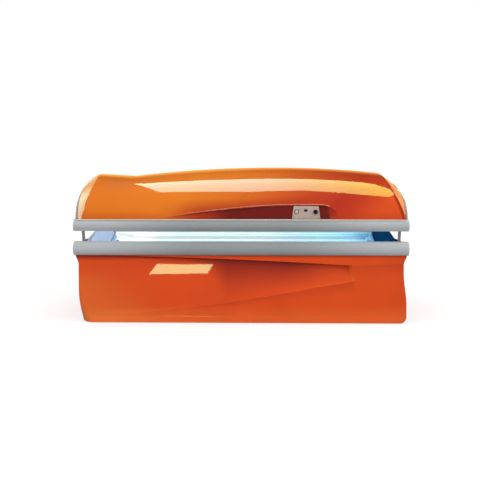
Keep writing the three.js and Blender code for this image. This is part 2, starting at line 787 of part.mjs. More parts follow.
function buildCanopyFrame() {
  const top = canopyBase + CANOPY_BEAM_HEIGHT;
  const pieces = [
    block(-strutFace, strutFace, beamFront, beamBack, canopyBase, top),
    block(-frameOut, frameOut, rearBeamFront, rearBeamBack, canopyBase, top),
  ];
  bothEnds((end, side) => {
    const x = side * frameOut;
    const rows = [...sunk(x, frontRows(x), COVER_WALL + FIT), ...sunk(x, rearRows(x), COVER_WALL + FIT)];
    const outline = rows.map((point) => [point.y, point.z]);
    outline.push([rearBeamFront, canopyBase]);
    outline.push(...arcAround(bedMid, archZ, archRadius + FIT, archAngle, Math.PI - archAngle, SHEET_STEPS));
    outline.push([beamBack, canopyBase], [beamFront, canopyBase], [beamFront, canopyRailTop + FIT]);
    pieces.push(prismAlongX(outline, side * frameIn, side * frameOut));
    const armHalf = HINGE_ARM_WIDTH / 2 - FIT;
    const arm = arc(hingeY, hingeZ, HINGE_EYE_RADIUS, Math.PI, 2 * Math.PI, HINGE_EYE_STEPS);
    arm.push([hingeY + HINGE_EYE_RADIUS, top], [hingeY - HINGE_EYE_RADIUS, top]);
    pieces.push(prismAlongX(arm, side * hingeX - armHalf, side * hingeX + armHalf));
  });
  const bore = boreRadius(HINGE_PIN_RADIUS, HINGE_SIDES);
  const bores = [-1, 1].map((side) => roundAlongX(
    bore,
    side * hingeX - HINGE_ARM_WIDTH,
    side * hingeX + HINGE_ARM_WIDTH,
    hingeY,
    hingeZ,
    HINGE_SIDES,
  ));
  add(bed, "canopy_frame", cut(join(pieces), bores), "steel");
}

// Lamps with their holders, reflectors and acrylic sheets

function lampBetween(y, z) {
  const profile = [
    [0, -lampEnd], [LAMP_CAP_RADIUS, -lampEnd], [LAMP_CAP_RADIUS, -lampEnd + LAMP_CAP_LENGTH],
    [LAMP_RADIUS, -lampEnd + LAMP_CAP_LENGTH], [LAMP_RADIUS, lampEnd - LAMP_CAP_LENGTH],
    [LAMP_CAP_RADIUS, lampEnd - LAMP_CAP_LENGTH], [LAMP_CAP_RADIUS, lampEnd], [0, lampEnd],
  ];
  const geometry = turned(profile, LAMP_SIDES);
  geometry.rotateY(QUARTER);
  geometry.translate(0, y, z);
  return geometry;
}

function buildCanopyLight() {
  const inside = archRadius - ACRYLIC;
  const sheet = band(bedMid, archZ, inside, archRadius, archAngle, Math.PI - archAngle, SHEET_STEPS);
  add(bed, "canopy_acrylic", prismAlongX(sheet, -frameOut, frameOut), "acrylic");
  const mirror = archRadius + REFLECTOR_SPACE;
  const beamTop = canopyBase + CANOPY_BEAM_HEIGHT;
  const low = Math.atan2(beamTop - archZ, bedMid - beamBack) + radians(CANOPY_LIGHT_CLEAR);
  const skin = band(bedMid, archZ, mirror, mirror + REFLECTOR, low, Math.PI - low, SHEET_STEPS);
  add(bed, "canopy_reflector", prismAlongX(skin, -holderOut, holderOut), "reflector");
  const strip = bandAround(bedMid, archZ, archRadius, mirror - FIT, low, Math.PI - low, SHEET_STEPS);
  bothEnds((end, side) => {
    const holder = prismAlongX(strip, side * (holderOut - HOLDER), side * holderOut);
    add(bed, `canopy_lampholder_${end}`, holder, "grey");
  });
  const first = low + Math.asin(CANOPY_LAMP_EDGE / (archRadius + LAMP_SPACE));
  for (let i = 0; i < LAMP_COUNT; i += 1) {
    const angle = Math.PI - first - ((Math.PI - 2 * first) * i) / (LAMP_COUNT - 1);
    const [[y, z]] = arc(bedMid, archZ, archRadius + LAMP_SPACE, angle, angle, 1);
    add(bed, `canopy_lamp_${i + 1}`, lampBetween(y, z), "lamp");
  }
}

function buildBenchLight() {
  const down = 3 * QUARTER;
  const under = bowlRadius + ACRYLIC;
  const sheet = band(bedMid, bowlZ, bowlRadius, under, down - bowlAngle, down + bowlAngle, SHEET_STEPS);
  add(bed, "bench_acrylic", prismAlongX(sheet, -frameOut, frameOut), "acrylic");
  const mirror = under + REFLECTOR_SPACE;
  const reach = Math.asin(BENCH_HOLDER_REACH / mirror);
  const skin = band(bedMid, bowlZ, mirror, mirror + REFLECTOR, down - reach, down + reach, SHEET_STEPS);
  add(bed, "bench_reflector", prismAlongX(skin, -holderOut, holderOut), "reflector");
  const strip = bandAround(bedMid, bowlZ, under, mirror - FIT, down - reach, down + reach, SHEET_STEPS);
  const trimLow = bowlRadius + TRIM_THICK;
  const trim = arc(bedMid, bowlZ, trimLow, down - bowlAngle, down + bowlAngle, SHEET_STEPS);
  const trimHalf = bowlRadius * Math.sin(bowlAngle);
  for (let i = 0; i <= SHEET_STEPS; i += 1) {
    const across = 1 - (2 * i) / SHEET_STEPS;
    trim.push([bedMid + trimHalf * across, bowlEdge + TRIM_RISE * (1 - across ** 2)]);
  }
  bothEnds((end, side) => {
    const holder = prismAlongX(strip, side * (holderOut - HOLDER), side * holderOut);
    add(bed, `bench_lampholder_${end}`, holder, "grey");
    const edge = prismAlongX(trim, side * (frameOut + FIT), side * (frameOut + TRIM_WIDTH));
    add(bed, `bench_end_trim_${end}`, edge, "grey");
  });
  for (let i = 0; i < LAMP_COUNT; i += 1) {
    const along = (i - (LAMP_COUNT - 1) / 2) * BENCH_LAMP_PITCH;
    const angle = down + along / (under + LAMP_SPACE);
    const [[y, z]] = arc(bedMid, bowlZ, under + LAMP_SPACE, angle, angle, 1);
    add(bed, `bench_lamp_${i + 1}`, lampBetween(y, z), "lamp");
  }
}

// Bench front panel

function lipBelow(x) {
  const t = clamp((x - LIP_LEFT_X) / (LIP_RIGHT_X - LIP_LEFT_X), 0, 1);
  return BENCH_RAIL_BOTTOM - LIP_LEFT_DROP - (LIP_RIGHT_DROP - LIP_LEFT_DROP) * t ** LIP_POWER;
}

function creaseAt(x) {
  const t = clamp((x - CREASE_LEFT_X) / (CREASE_RIGHT_X - CREASE_LEFT_X), 0, 1);
  return CREASE_LEFT_Z + (CREASE_RIGHT_Z - CREASE_LEFT_Z) * t ** CREASE_POWER;
}

function hullShare(z) {
  return clamp(1 - z / HULL_HEIGHT, 0, 1) ** 2;
}

function hullDepth(z) {
  return CORNER + HULL_DEPTH * hullShare(z);
}

function lipFlare(z) {
  return LIP_FLARE * smooth(z, BENCH_RAIL_BOTTOM - LIP_FLARE_HEIGHT, BENCH_RAIL_BOTTOM);
}

// Right edge of the panel: it flares out towards the floor and ends in a round corner
function rightEdge(z) {
  const flare = lipFlare(z) + FLARE * (1 - smooth(z, FLARE_BOTTOM, FLARE_TOP));
  const t = clamp(1 - z / FLARE_CORNER, 0, 1);
  return panelEnd + flare - FLARE_CORNER * (1 - Math.sqrt(1 - t * t));
}

function panelFace(z) {
  const height = BENCH_RAIL_BOTTOM - FLOOR_GAP;
  const lean = PANEL_LEAN * (1 - (z - FLOOR_GAP) / height);
  const kick = KICK * clamp(1 - (z - FLOOR_GAP) / KICK_HEIGHT, 0, 1);
  return front + PANEL_SETBACK + lean - kick;
}

// Depth of the wedge below the lip: deepest under the lip, nothing at the crease
function wedgeDepth(x, z) {
  const lip = lipBelow(x);
  const crease = creaseAt(x);
  const along = clamp((x - CREASE_LEFT_X) / (WEDGE_END_X - CREASE_LEFT_X), 0, 1) ** WEDGE_POWER;
  const across = clamp((z - crease) / (lip - crease), 0, 1);
  const end = WEDGE_END_X + WEDGE_END_SLANT * (lip - z);
  const closing = 1 - smooth(x, end - WEDGE_END_WIDTH / 2, end + WEDGE_END_WIDTH / 2);
  return z > lip + WELD ? 0 : WEDGE_DEPTH * along * across * closing;
}

function roundedOff(distance, width, depth) {
  const t = clamp(1 - distance / width, 0, 1);
  return depth * (1 - Math.sqrt(1 - t * t));
}

function panelPoint(x, z) {
  const edge = rightEdge(z);
  const beside = WEDGE_END_X + WEDGE_END_WIDTH * 2;
  const pull = clamp((x - beside) / (panelEnd - beside), 0, 1);
  const pullLeft = clamp((LIP_FLARE_LENGTH - panelEnd - x) / LIP_FLARE_LENGTH, 0, 1);
  const place = x + (edge - panelEnd) * pull - lipFlare(z) * pullLeft;
  const hull = hullShare(z);
  const left = roundedOff(x + panelEnd, CORNER + HULL_WIDTH * hull, hullDepth(z));
  const right = roundedOff(edge - place, CORNER, CORNER);
  return new THREE.Vector3(place, panelFace(z) + wedgeDepth(x, z) + left + right, z);
}

function panelRows(x) {
  const kickTop = FLOOR_GAP + KICK_HEIGHT;
  const lip = lipBelow(x);
  const marks = [FLOOR_GAP, FLOOR_GAP + KICK_HEIGHT / 2];
  const fill = (low, high, count) => {
    for (let i = 0; i < count; i += 1) {
      marks.push(low + ((high - low) * i) / count);
    }
  };
  fill(kickTop, creaseAt(x), SKIRT_ROWS);
  fill(creaseAt(x), lip, WEDGE_ROWS);
  marks.push(lip, lip + LIP_EDGE, BENCH_RAIL_BOTTOM - FIT);
  return marks;
}

function buildFrontPanel() {
  const marks = [CREASE_LEFT_X + HULL_WIDTH, WEDGE_END_X - WEDGE_END_WIDTH];
  marks.push(CREASE_RIGHT_X + WEDGE_END_WIDTH * 2);
  WEDGE_END_SHARES.forEach((share) => marks.push(WEDGE_END_X + (share * WEDGE_END_WIDTH) / 2));
  CORNER_SHARES.forEach((share) => {
    marks.push(-panelEnd + share * CORNER, panelEnd - share * CORNER);
  });
  HULL_SHARES.forEach((share) => marks.push(-panelEnd + CORNER + share * HULL_WIDTH));
  const columns = spread([...new Set(marks)], PANEL_STEP);
  const outer = columns.map((x) => panelRows(x).map((z) => panelPoint(x, z)));
  const inner = outer.map((column) => column.map((point) => point.clone().setY(point.y + PANEL_WALL)));
  add(bed, "bench_front_panel", shell(outer, inner), "orange");
}

// Bench end and rear panels

function buildEndPanels() {
  const railLow = BENCH_RAIL_BOTTOM - FIT;
  const top = benchRailTop - BENCH_BEAM_DROP;
  bothEnds((end, side) => {
    const outline = [[rearPanelIn - FIT, FLOOR_GAP], [rearPanelIn - FIT, top]];
    outline.push([beamFront, top], [beamFront, railLow]);
    panelRows(side * panelEnd).reverse().forEach((z) => {
      const depth = side < 0 ? hullDepth(z) : CORNER;
      outline.push([panelFace(z) + depth + PANEL_WALL + END_PANEL_GAP, z]);
    });
    add(bed, `bench_end_panel_${end}`, prismAlongX(outline, side * endPanelInner, side * panelEnd), "orange");
  });
}

function buildRearPanel() {
  const sheet = block(-panelEnd, panelEnd, rearPanelIn, rearPanelOut, FLOOR_GAP, rearPanelTop);
  const ledgeFront = rearBeamBack + FIT;
  const ledgeLow = rearPanelTop - REAR_LEDGE;
  const ledge = block(-panelEnd, panelEnd, ledgeFront, rearPanelOut, ledgeLow, rearPanelTop);
  const notchHalf = HINGE_ARM_WIDTH / 2 + HINGE_LUG + REAR_NOTCH;
  const notchBack = hingeY + HINGE_EYE_RADIUS + REAR_NOTCH;
  const tools = [-1, 1].map((side) => block(
    side * hingeX - notchHalf,
    side * hingeX + notchHalf,
    ledgeFront - REAR_NOTCH,
    notchBack,
    rearPanelTop - 2 * REAR_LEDGE,
    rearPanelTop + REAR_LEDGE,
  ));
  const radius = FAN_BORE - GRILLE_SLOT;
  for (let row = -GRILLE_ROWS; row <= GRILLE_ROWS; row += 1) {
    const rise = row * GRILLE_PITCH;
    const half = Math.sqrt(radius ** 2 - rise ** 2);
    const z = FAN_Z + rise;
    tools.push(block(
      -half,
      half,
      rearPanelIn - REAR_PANEL,
      rearPanelOut + REAR_PANEL,
      z - GRILLE_SLOT / 2,
      z + GRILLE_SLOT / 2,
    ));
  }
  add(bed, "bench_rear_panel", cut(join([sheet, ledge]), tools), "grey");
}

// Base frame: sills, cross members, end plates, beams, hinge lugs and strut pins

function buildBaseFrame() {
  const low = FOOT_HEIGHT;
  const sillFront = beamFront + SILL_INSET;
  const beamTop = benchRailTop - BENCH_BEAM_DROP;
  const beamLow = beamTop - BENCH_BEAM_HEIGHT;
  const sillTop = low + SILL_HEIGHT;
  const frontSill = channel(sillFront, sillFront + SILL_WIDTH, low, sillTop, SILL_WALL);
  const rearSill = channel(rearBeamBack, rearBeamBack - SILL_WIDTH, low, sillTop, SILL_WALL);
  const frontBeam = channel(beamFront, beamBack, beamLow, beamTop, SILL_WALL);
  const rearBeam = channel(rearBeamBack, rearBeamFront, beamLow, beamTop, SILL_WALL);
  const pieces = [frontSill, rearSill, frontBeam, rearBeam].map(
    (outline) => prismAlongX(outline, -frameOut, frameOut),
  );
  const crossOuter = frameOut - CROSS_END;
  const crossInner = BALLAST_LENGTH / 2 - CROSS_INSET;
  [-crossOuter, -crossInner, crossInner, crossOuter].forEach((x) => {
    const hat = channel(low + CROSS_HEIGHT, low, x - CROSS_WIDTH / 2, x + CROSS_WIDTH / 2, SILL_WALL);
    const outline = hat.map(([z, across]) => [across, z]);
    pieces.push(prismAlongY(outline, sillFront, rearBeamBack));
  });
  const down = 3 * QUARTER;
  const seat = bowlRadius + ACRYLIC + FIT;
  const plate = [
    [beamFront, low], [rearBeamBack, low], [rearBeamBack, beamTop], [rearBeamFront, beamTop],
    ...arcAround(bedMid, bowlZ, seat, down + bowlAngle, down - bowlAngle, SHEET_STEPS),
    [beamBack, beamTop], [beamFront, beamTop],
  ];
  const bores = [];
  const bore = boreRadius(HINGE_PIN_RADIUS, HINGE_SIDES);
  bothEnds((end, side) => {
    pieces.push(prismAlongX(plate, side * frameIn, side * frameOut));
    const root = side * (frameOut - END_FRAME / 2);
    OUTRIGGER_Y.forEach((y) => pieces.push(block(
      root,
      side * (endPanelInner - FIT),
      y,
      y + OUTRIGGER_WIDTH,
      OUTRIGGER_Z,
      OUTRIGGER_Z + OUTRIGGER_HEIGHT,
    )));
    const standoff = frameOut - STANDOFF_END;
    pieces.push(block(
      side * (standoff - STANDOFF_WIDTH / 2),
      side * (standoff + STANDOFF_WIDTH / 2),
      rearBeamBack - SILL_WALL,
      rearPanelIn - FIT,
      beamTop - STANDOFF_HEIGHT,
      beamTop,
    ));
    const halfBracket = STRUT_BRACKET / 2;
    pieces.push(block(
      root,
      side * strutFace,
      strutPinY - halfBracket,
      strutPinY + halfBracket,
      STRUT_PIN_Z - halfBracket,
      STRUT_PIN_Z + halfBracket,
    ));
    pieces.push(roundAlongX(
      STRUT_PIN_RADIUS,
      side * (strutFace - STRUT_EYE_LENGTH / 2),
      side * (strutX + STRUT_EYE_LENGTH / 2 + STRUT_PIN_TIP),
      strutPinY,
      STRUT_PIN_Z,
      HINGE_SIDES,
    ));
    [-1, 1].forEach((flank) => {
      const lug = arc(hingeY, hingeZ, HINGE_EYE_RADIUS, 0, Math.PI, HINGE_EYE_STEPS);
      lug.push([hingeY - HINGE_EYE_RADIUS, beamLow], [hingeY + HINGE_EYE_RADIUS, beamLow]);
      const near = side * hingeX + flank * (HINGE_ARM_WIDTH / 2);
      pieces.push(prismAlongX(lug, near, near + flank * HINGE_LUG));
    });
    const boreFrom = side * hingeX - 2 * HINGE_ARM_WIDTH;
    const boreTo = side * hingeX + 2 * HINGE_ARM_WIDTH;
    bores.push(roundAlongX(bore, boreFrom, boreTo, hingeY, hingeZ, HINGE_SIDES));
  });
  add(bed, "base_frame", cut(join(pieces), bores), "steel");
}

function buildHingePins() {
  const half = HINGE_ARM_WIDTH / 2 + HINGE_LUG + HINGE_PIN_OVERHANG;
  bothEnds((end, side) => {
    const x = side * hingeX;
    const pin = roundAlongX(HINGE_PIN_RADIUS, x - half, x + half, hingeY, hingeZ, HINGE_SIDES);
    add(bed, `hinge_pin_${end}`, pin, "chrome");
  });
}

function buildFeet() {
  const profile = [
    [0, 0], [FOOT_RADIUS, 0], [FOOT_RADIUS, FOOT_PAD], [FOOT_STEM, FOOT_PAD],
    [FOOT_STEM, FOOT_HEIGHT], [0, FOOT_HEIGHT],
  ];
  const rows = [
    ["front", beamFront + SILL_INSET + SILL_WIDTH / 2],
    ["rear", rearBeamBack - SILL_WIDTH / 2],
  ];
  rows.forEach(([row, y]) => bothEnds((end, side) => {
    const foot = turned(profile, FOOT_SIDES);
    foot.translate(side * (frameOut - FOOT_END), y, 0);
    add(bed, `foot_${row}_${end}`, foot, "rubber");
  }));
}

// Gas struts: a tube on the base frame's pin, and a rod whose eye lies against the canopy's front beam

function buildStruts() {
  const half = STRUT_EYE_LENGTH / 2;
  const tubeTop = strutLength - STRUT_TUBE_SHORT;
  const bore = boreRadius(STRUT_ROD_RADIUS, STRUT_SIDES);
  const pinBore = boreRadius(STRUT_PIN_RADIUS, HINGE_SIDES);
  bothEnds((end, side) => {
    const strut = new THREE.Group();
    strut.position.set(side * strutX, strutPinY, STRUT_PIN_Z);
    strut.rotation.x = strutLean;
    const tube = turned([
      [0, 0], [STRUT_NECK_RADIUS, 0], [STRUT_NECK_RADIUS, STRUT_NECK], [STRUT_TUBE_RADIUS, STRUT_NECK],
      [STRUT_TUBE_RADIUS, tubeTop], [bore, tubeTop], [bore, STRUT_BORE_START], [0, STRUT_BORE_START],
    ], STRUT_SIDES);
    const eye = roundAlongX(STRUT_EYE_RADIUS, -half, half, 0, 0, STRUT_EYE_SIDES);
    const hole = roundAlongX(pinBore, -2 * half, 2 * half, 0, 0, HINGE_SIDES);
    add(strut, `strut_tube_${end}`, cut(join([tube, eye]), [hole]), "steel");
    const rod = turned([
      [0, STRUT_ROD_START], [STRUT_ROD_RADIUS, STRUT_ROD_START],
      [STRUT_ROD_RADIUS, strutLength], [0, strutLength],
    ], STRUT_SIDES);
    const rodEye = roundAlongX(STRUT_ROD_EYE, -half, half, 0, strutLength, STRUT_EYE_SIDES);
    add(strut, `strut_rod_${end}`, join([rod, rodEye]), "chrome");
    bed.add(strut);
  });
}

// Control gear, fan and mains inlet

function buildBallast() {
  const low = FOOT_HEIGHT + CROSS_HEIGHT;
  const half = BALLAST_WIDTH / 2;
  const box = block(-BALLAST_LENGTH / 2, BALLAST_LENGTH / 2, -half, half, low, low + BALLAST_HEIGHT);
  const grooves = [];
  for (let i = 0; i < BALLAST_GROOVES; i += 1) {
    const y = ((i + 1) / (BALLAST_GROOVES + 1)) * BALLAST_WIDTH - half;
    grooves.push(block(
      -BALLAST_LENGTH,
      BALLAST_LENGTH,
      y - BALLAST_GROOVE / 2,
      y + BALLAST_GROOVE / 2,
      low + BALLAST_HEIGHT - BALLAST_GROOVE,
      low + BALLAST_HEIGHT + BALLAST_GROOVE,
    ));
  }
  add(bed, "ballast_box", cut(box, grooves), "steel");
}

function buildFan() {
  const rear = rearPanelIn - FIT;
  const near = rear - FAN_DEPTH;
  const half = FAN_SIZE / 2;
  const body = block(-half, half, near, rear, FAN_Z - half, FAN_Z + half);
  const ring = cut(body, [roundAlongY(FAN_BORE, 0, near - FAN_GAP, rear + FAN_GAP, FAN_Z, FAN_SIDES)]);
  const spider = [ring, roundAlongY(FAN_HUB, 0, near, near + FAN_SPIDER, FAN_Z, FAN_HUB_SIDES)];
  for (let i = 0; i < FAN_ARMS; i += 1) {
    const arm = block(-FAN_ARM / 2, FAN_ARM / 2, near, near + FAN_SPIDER, 0, FAN_BORE + FAN_ARM / 2);
    arm.rotateY((i * 2 * Math.PI) / FAN_ARMS);
    arm.translate(0, 0, FAN_Z);
    spider.push(arm);
  }
  const hole = boreRadius(FAN_SHAFT, HINGE_SIDES);
  const shaftBore = roundAlongY(hole, 0, near - FAN_GAP, near + FAN_SPIDER + FAN_GAP, FAN_Z, HINGE_SIDES);
  add(bed, "fan_housing", cut(join(spider), [shaftBore]), "black");

  const hubNear = near + FAN_SPIDER + FAN_GAP;
  const hubRear = rear - 2 * FAN_GAP;
  const rotor = [
    roundAlongY(FAN_HUB, 0, hubNear, hubRear, FAN_Z, FAN_HUB_SIDES),
    roundAlongY(FAN_SHAFT, 0, near + FAN_GAP, hubRear, FAN_Z, HINGE_SIDES),
  ];
  const tip = FAN_BORE - FAN_TIP_GAP;
  for (let i = 0; i < FAN_BLADES; i += 1) {
    const blade = block(-FAN_CHORD / 2, FAN_CHORD / 2, -FAN_BLADE / 2, FAN_BLADE / 2, FAN_HUB / 2, tip);
    blade.rotateZ(radians(FAN_PITCH));
    blade.rotateY((i * 2 * Math.PI) / FAN_BLADES);
    blade.translate(0, (hubNear + hubRear) / 2, FAN_Z);
    rotor.push(blade);
  }
  add(bed, "fan_rotor", join(rotor), "black");
}

function buildInlet() {
  const near = rearPanelOut + FIT;
  const x = INLET_END - panelEnd;
  const slab = (inset, y0, y1) => block(
    x - INLET_WIDTH / 2 + inset,
    x + INLET_WIDTH / 2 - inset,
    y0,
    y1,
    INLET_Z - INLET_HEIGHT / 2 + inset,
    INLET_Z + INLET_HEIGHT / 2 - inset,
  );
  const body = join([slab(0, near, near + INLET_FLANGE), slab(INLET_RIM, near, near + INLET_DEPTH)]);
  const socket = slab(INLET_RIM + INLET_WALL, near + INLET_FLANGE, near + 2 * INLET_DEPTH);
  add(bed, "mains_inlet", cut(body, [socket]), "black");
}

// Control panel with its button, display window and knob

function buildControls() {
  const bottom = canopyRailTop + CONTROL_RAISE;
  const top = bottom + CONTROL_HEIGHT;
  const rear = front + SCOOP_SETBACK - FIT;
  const face = rear - CONTROL_THICK;
  const row = canopyRailTop + CONTROL_ROW;
  const plate = prismAlongY([
    [CONTROL_X - CONTROL_BOTTOM_WIDTH / 2, bottom], [CONTROL_X + CONTROL_BOTTOM_WIDTH / 2, bottom],
    [CONTROL_X + CONTROL_TOP_WIDTH / 2, top], [CONTROL_X - CONTROL_TOP_WIDTH / 2, top],
  ], face, rear);
  const wide = boreRadius(BUTTON_RADIUS, CONTROL_SIDES);
  const hole = roundAlongY(wide, BUTTON_X, face - BUTTON_PROUD, rear + BUTTON_PROUD, row, CONTROL_SIDES);
  add(bed, "control_panel", cut(plate, [hole]), "panel");
  const buttonTip = face - BUTTON_PROUD;
  const button = roundAlongY(BUTTON_RADIUS, BUTTON_X, buttonTip, face + BUTTON_DEPTH, row, CONTROL_SIDES);
  add(bed, "start_button", button, "chrome");
  const gripTip = face - FIT - KNOB_LENGTH;
  const grip = roundAlongY(KNOB_RADIUS, KNOB_X, gripTip, face - FIT, row, CONTROL_SIDES);
  const ridge = block(
    KNOB_X - KNOB_RIDGE / 2,
    KNOB_X + KNOB_RIDGE / 2,
    gripTip - KNOB_RIDGE_PROUD,
    gripTip + KNOB_LENGTH / 2,
    row,
    row + KNOB_RIDGE_REACH,
  );
  add(bed, "fan_knob", join([grip, ridge]), "black");
  const half = DISPLAY_WIDTH / 2;
  const oval = new THREE.CylinderGeometry(half, half, DISPLAY_PROUD, DISPLAY_SIDES);
  oval.scale(1, 1, DISPLAY_HEIGHT / DISPLAY_WIDTH);
  oval.translate(DISPLAY_X, face - DISPLAY_PROUD / 2, canopyRailTop + DISPLAY_ROW);
  add(bed, "display_window", oval, "black");
}

buildRails();
buildCovers();
buildEndCaps();
buildCanopyFrame();
buildCanopyLight();
buildBenchLight();
buildFrontPanel();
buildEndPanels();
buildRearPanel();
buildBaseFrame();
buildHingePins();
buildFeet();
buildStruts();
buildBallast();
buildFan();
buildInlet();
buildControls();

export default bed;
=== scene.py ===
# %% [markdown]
# # A clamshell tanning bed
# The real object is a long bench with a lamp-filled canopy hinged along its back edge. Two silver
# rails run along the front, one on each half, and everything you see above and below them is
# glossy orange shell. The CAD parts come in first as a fixed frame in metres, and each piece made
# here sits exactly where its CAD part is.

# %% Load the frame
import json
from math import acos, asin, atan2, copysign, cos, hypot, pi, radians, sin, sqrt

import bmesh
import bpy
from mathutils import Matrix, Vector

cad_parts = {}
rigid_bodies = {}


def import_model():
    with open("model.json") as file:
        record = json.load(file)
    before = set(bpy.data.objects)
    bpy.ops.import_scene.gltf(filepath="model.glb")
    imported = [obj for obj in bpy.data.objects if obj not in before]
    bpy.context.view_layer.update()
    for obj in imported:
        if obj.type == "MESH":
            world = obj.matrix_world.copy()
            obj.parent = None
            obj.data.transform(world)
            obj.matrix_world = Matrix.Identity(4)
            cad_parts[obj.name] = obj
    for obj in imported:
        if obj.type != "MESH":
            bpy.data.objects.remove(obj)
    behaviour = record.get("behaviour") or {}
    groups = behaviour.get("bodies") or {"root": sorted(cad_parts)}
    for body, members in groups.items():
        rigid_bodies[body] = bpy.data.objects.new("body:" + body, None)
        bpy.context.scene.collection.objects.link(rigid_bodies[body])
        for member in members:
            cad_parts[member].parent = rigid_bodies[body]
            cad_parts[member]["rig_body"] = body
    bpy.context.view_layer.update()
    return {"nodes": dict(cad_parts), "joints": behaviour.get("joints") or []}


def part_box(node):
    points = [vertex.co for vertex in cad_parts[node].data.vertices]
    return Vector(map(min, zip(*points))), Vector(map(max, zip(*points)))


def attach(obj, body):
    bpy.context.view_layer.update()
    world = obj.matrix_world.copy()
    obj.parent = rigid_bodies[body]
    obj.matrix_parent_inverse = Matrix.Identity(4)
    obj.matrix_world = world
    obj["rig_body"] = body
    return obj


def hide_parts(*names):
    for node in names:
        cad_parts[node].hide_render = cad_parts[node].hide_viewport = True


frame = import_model()
joints = {joint["name"]: joint for joint in frame["joints"]}

# %% [markdown]
# ## From a bmesh to a piece
# Every piece is shaped in a bmesh and then handed over to one function: it makes the object, smooths
# the shading except across sharp edges, gives it its finish and ties it to the CAD body that
# carries it. Doing that in one place keeps the later cells about shape alone.

# %% Hand a finished shape over
def make_piece(bm, name, body, nodes, finishes, sharp=32):
    """Make a piece of a bmesh, riding on a body and standing for the CAD parts named."""
    mesh = bpy.data.meshes.new(name)
    bm.to_mesh(mesh)
    bm.free()
    mesh.shade_smooth()
    mesh.set_sharp_from_angle(angle=radians(sharp))
    for finish in finishes:
        mesh.materials.append(finish)
    piece = bpy.data.objects.new(name, mesh)
    bpy.context.scene.collection.objects.link(piece)
    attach(piece, body)
    if nodes:
        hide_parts(*nodes)
    return piece


def give_wall(piece, thickness, edge=0.0012):
    """Give an open sheet its wall, inwards from its face, with its rims eased."""
    wall = piece.modifiers.new("wall", "SOLIDIFY")
    wall.thickness = thickness
    wall.offset = -1
    rim = piece.modifiers.new("eased_rims", "BEVEL")
    rim.width = edge
    rim.segments = 2
    rim.limit_method = "ANGLE"
    rim.angle_limit = radians(60)


def count(piece):
    """Triangles of a piece as it will be rendered."""
    shown = piece.evaluated_get(bpy.context.evaluated_depsgraph_get()).data
    shown.calc_loop_triangles()
    return len(shown.loop_triangles)


print("piece maker ready")

# %% [markdown]
# ## Curves that the shells share
# The moulded shells are smooth sheets that follow a few formulas. A ramp that starts and ends
# softly, a plain share between two limits and a mix of two values are all that these formulas need.

# %% Ramps and mixes
def share(value, low, high):
    return min(1, max(0, (value - low) / (high - low)))


def soft(value, low, high):
    t = share(value, low, high)
    return t * t * (3 - 2 * t)


def mix(a, b, t):
    return a + (b - a) * t


def evenly(low, high, steps):
    return [mix(low, high, k / steps) for k in range(steps + 1)]


def formed_sheet(columns, rows, place):
    """A grid set on a surface: place(column, row) gives a point, and the painted shade there, below zero a painted
    highlight.
    """
    bm = bmesh.new()
    painted_shading = bm.verts.layers.float.new("painted_shading")
    bmesh.ops.create_grid(bm, x_segments=columns, y_segments=rows, size=0.5)
    for v in bm.verts:
        column, row = round((v.co.x + 0.5) * columns), round((v.co.y + 0.5) * rows)
        v.co, v[painted_shading] = place(column, row)
    return bm


def face_out(bm, away_from):
    """Turn an open sheet so that its faces look away from a point."""
    bm.normal_update()
    middle = Vector(away_from)
    if sum((f.calc_center_median() - middle).dot(f.normal) for f in bm.faces) < 0:
        bmesh.ops.reverse_faces(bm, faces=bm.faces)


print("soft ramp at a quarter:", soft(0.25, 0, 1))

# %% [markdown]
# ## Building a finish
# A finish is a small tree of shader nodes on a Principled shader. Every tree here starts from Object
# coordinates, which on these pieces are plain metres, so a scale of 400 makes a grain of about
# 2.5 mm. A short helper adds a node and links it, so each finish reads as a list of steps.

# %% Node helpers
def new_finish(name):
    finish = bpy.data.materials.new(name)
    finish.use_nodes = True
    return finish, finish.node_tree, finish.node_tree.nodes["Principled BSDF"]


def add(tree, kind, inputs=None, **settings):
    """Add a shader node. A socket among the inputs is linked, and any other value is set."""
    node = tree.nodes.new("ShaderNode" + kind)
    for setting, value in settings.items():
        setattr(node, setting, value)
    for socket, value in (inputs or {}).items():
        if isinstance(value, bpy.types.NodeSocket):
            tree.links.new(value, node.inputs[socket])
        else:
            node.inputs[socket].default_value = value
    return node


def object_place(tree, stretch=(1, 1, 1)):
    place = add(tree, "TexCoord").outputs["Object"]
    return add(tree, "Mapping", {"Vector": place, "Scale": stretch}).outputs[0]


def grain(tree, scale, stretch=(1, 1, 1), detail=3.0):
    place = object_place(tree, stretch)
    noise = add(tree, "TexNoise", {"Vector": place, "Scale": scale, "Detail": detail})
    return noise.outputs["Fac"]


def between(tree, value, low, high, out_low=0.0, out_high=1.0, how="SMOOTHSTEP"):
    inputs = {"Value": value, "From Min": low, "From Max": high}
    inputs.update({"To Min": out_low, "To Max": out_high})
    return add(tree, "MapRange", inputs, interpolation_type=how).outputs[0]


def colour_mix(tree, factor, a, b, how="MIX"):
    inputs = {0: factor}
    inputs[6] = a if isinstance(a, bpy.types.NodeSocket) else (*a, 1)
    inputs[7] = b if isinstance(b, bpy.types.NodeSocket) else (*b, 1)
    return add(tree, "Mix", inputs, data_type="RGBA", blend_type=how).outputs[2]


def times(tree, a, b):
    return add(tree, "Math", {0: a, 1: b}, operation="MULTIPLY").outputs[0]


def bump(tree, shader, height, strength, depth):
    node = add(tree, "Bump", {"Height": height, "Strength": strength, "Distance": depth})
    tree.links.new(node.outputs[0], shader.inputs["Normal"])


print("node helpers ready")
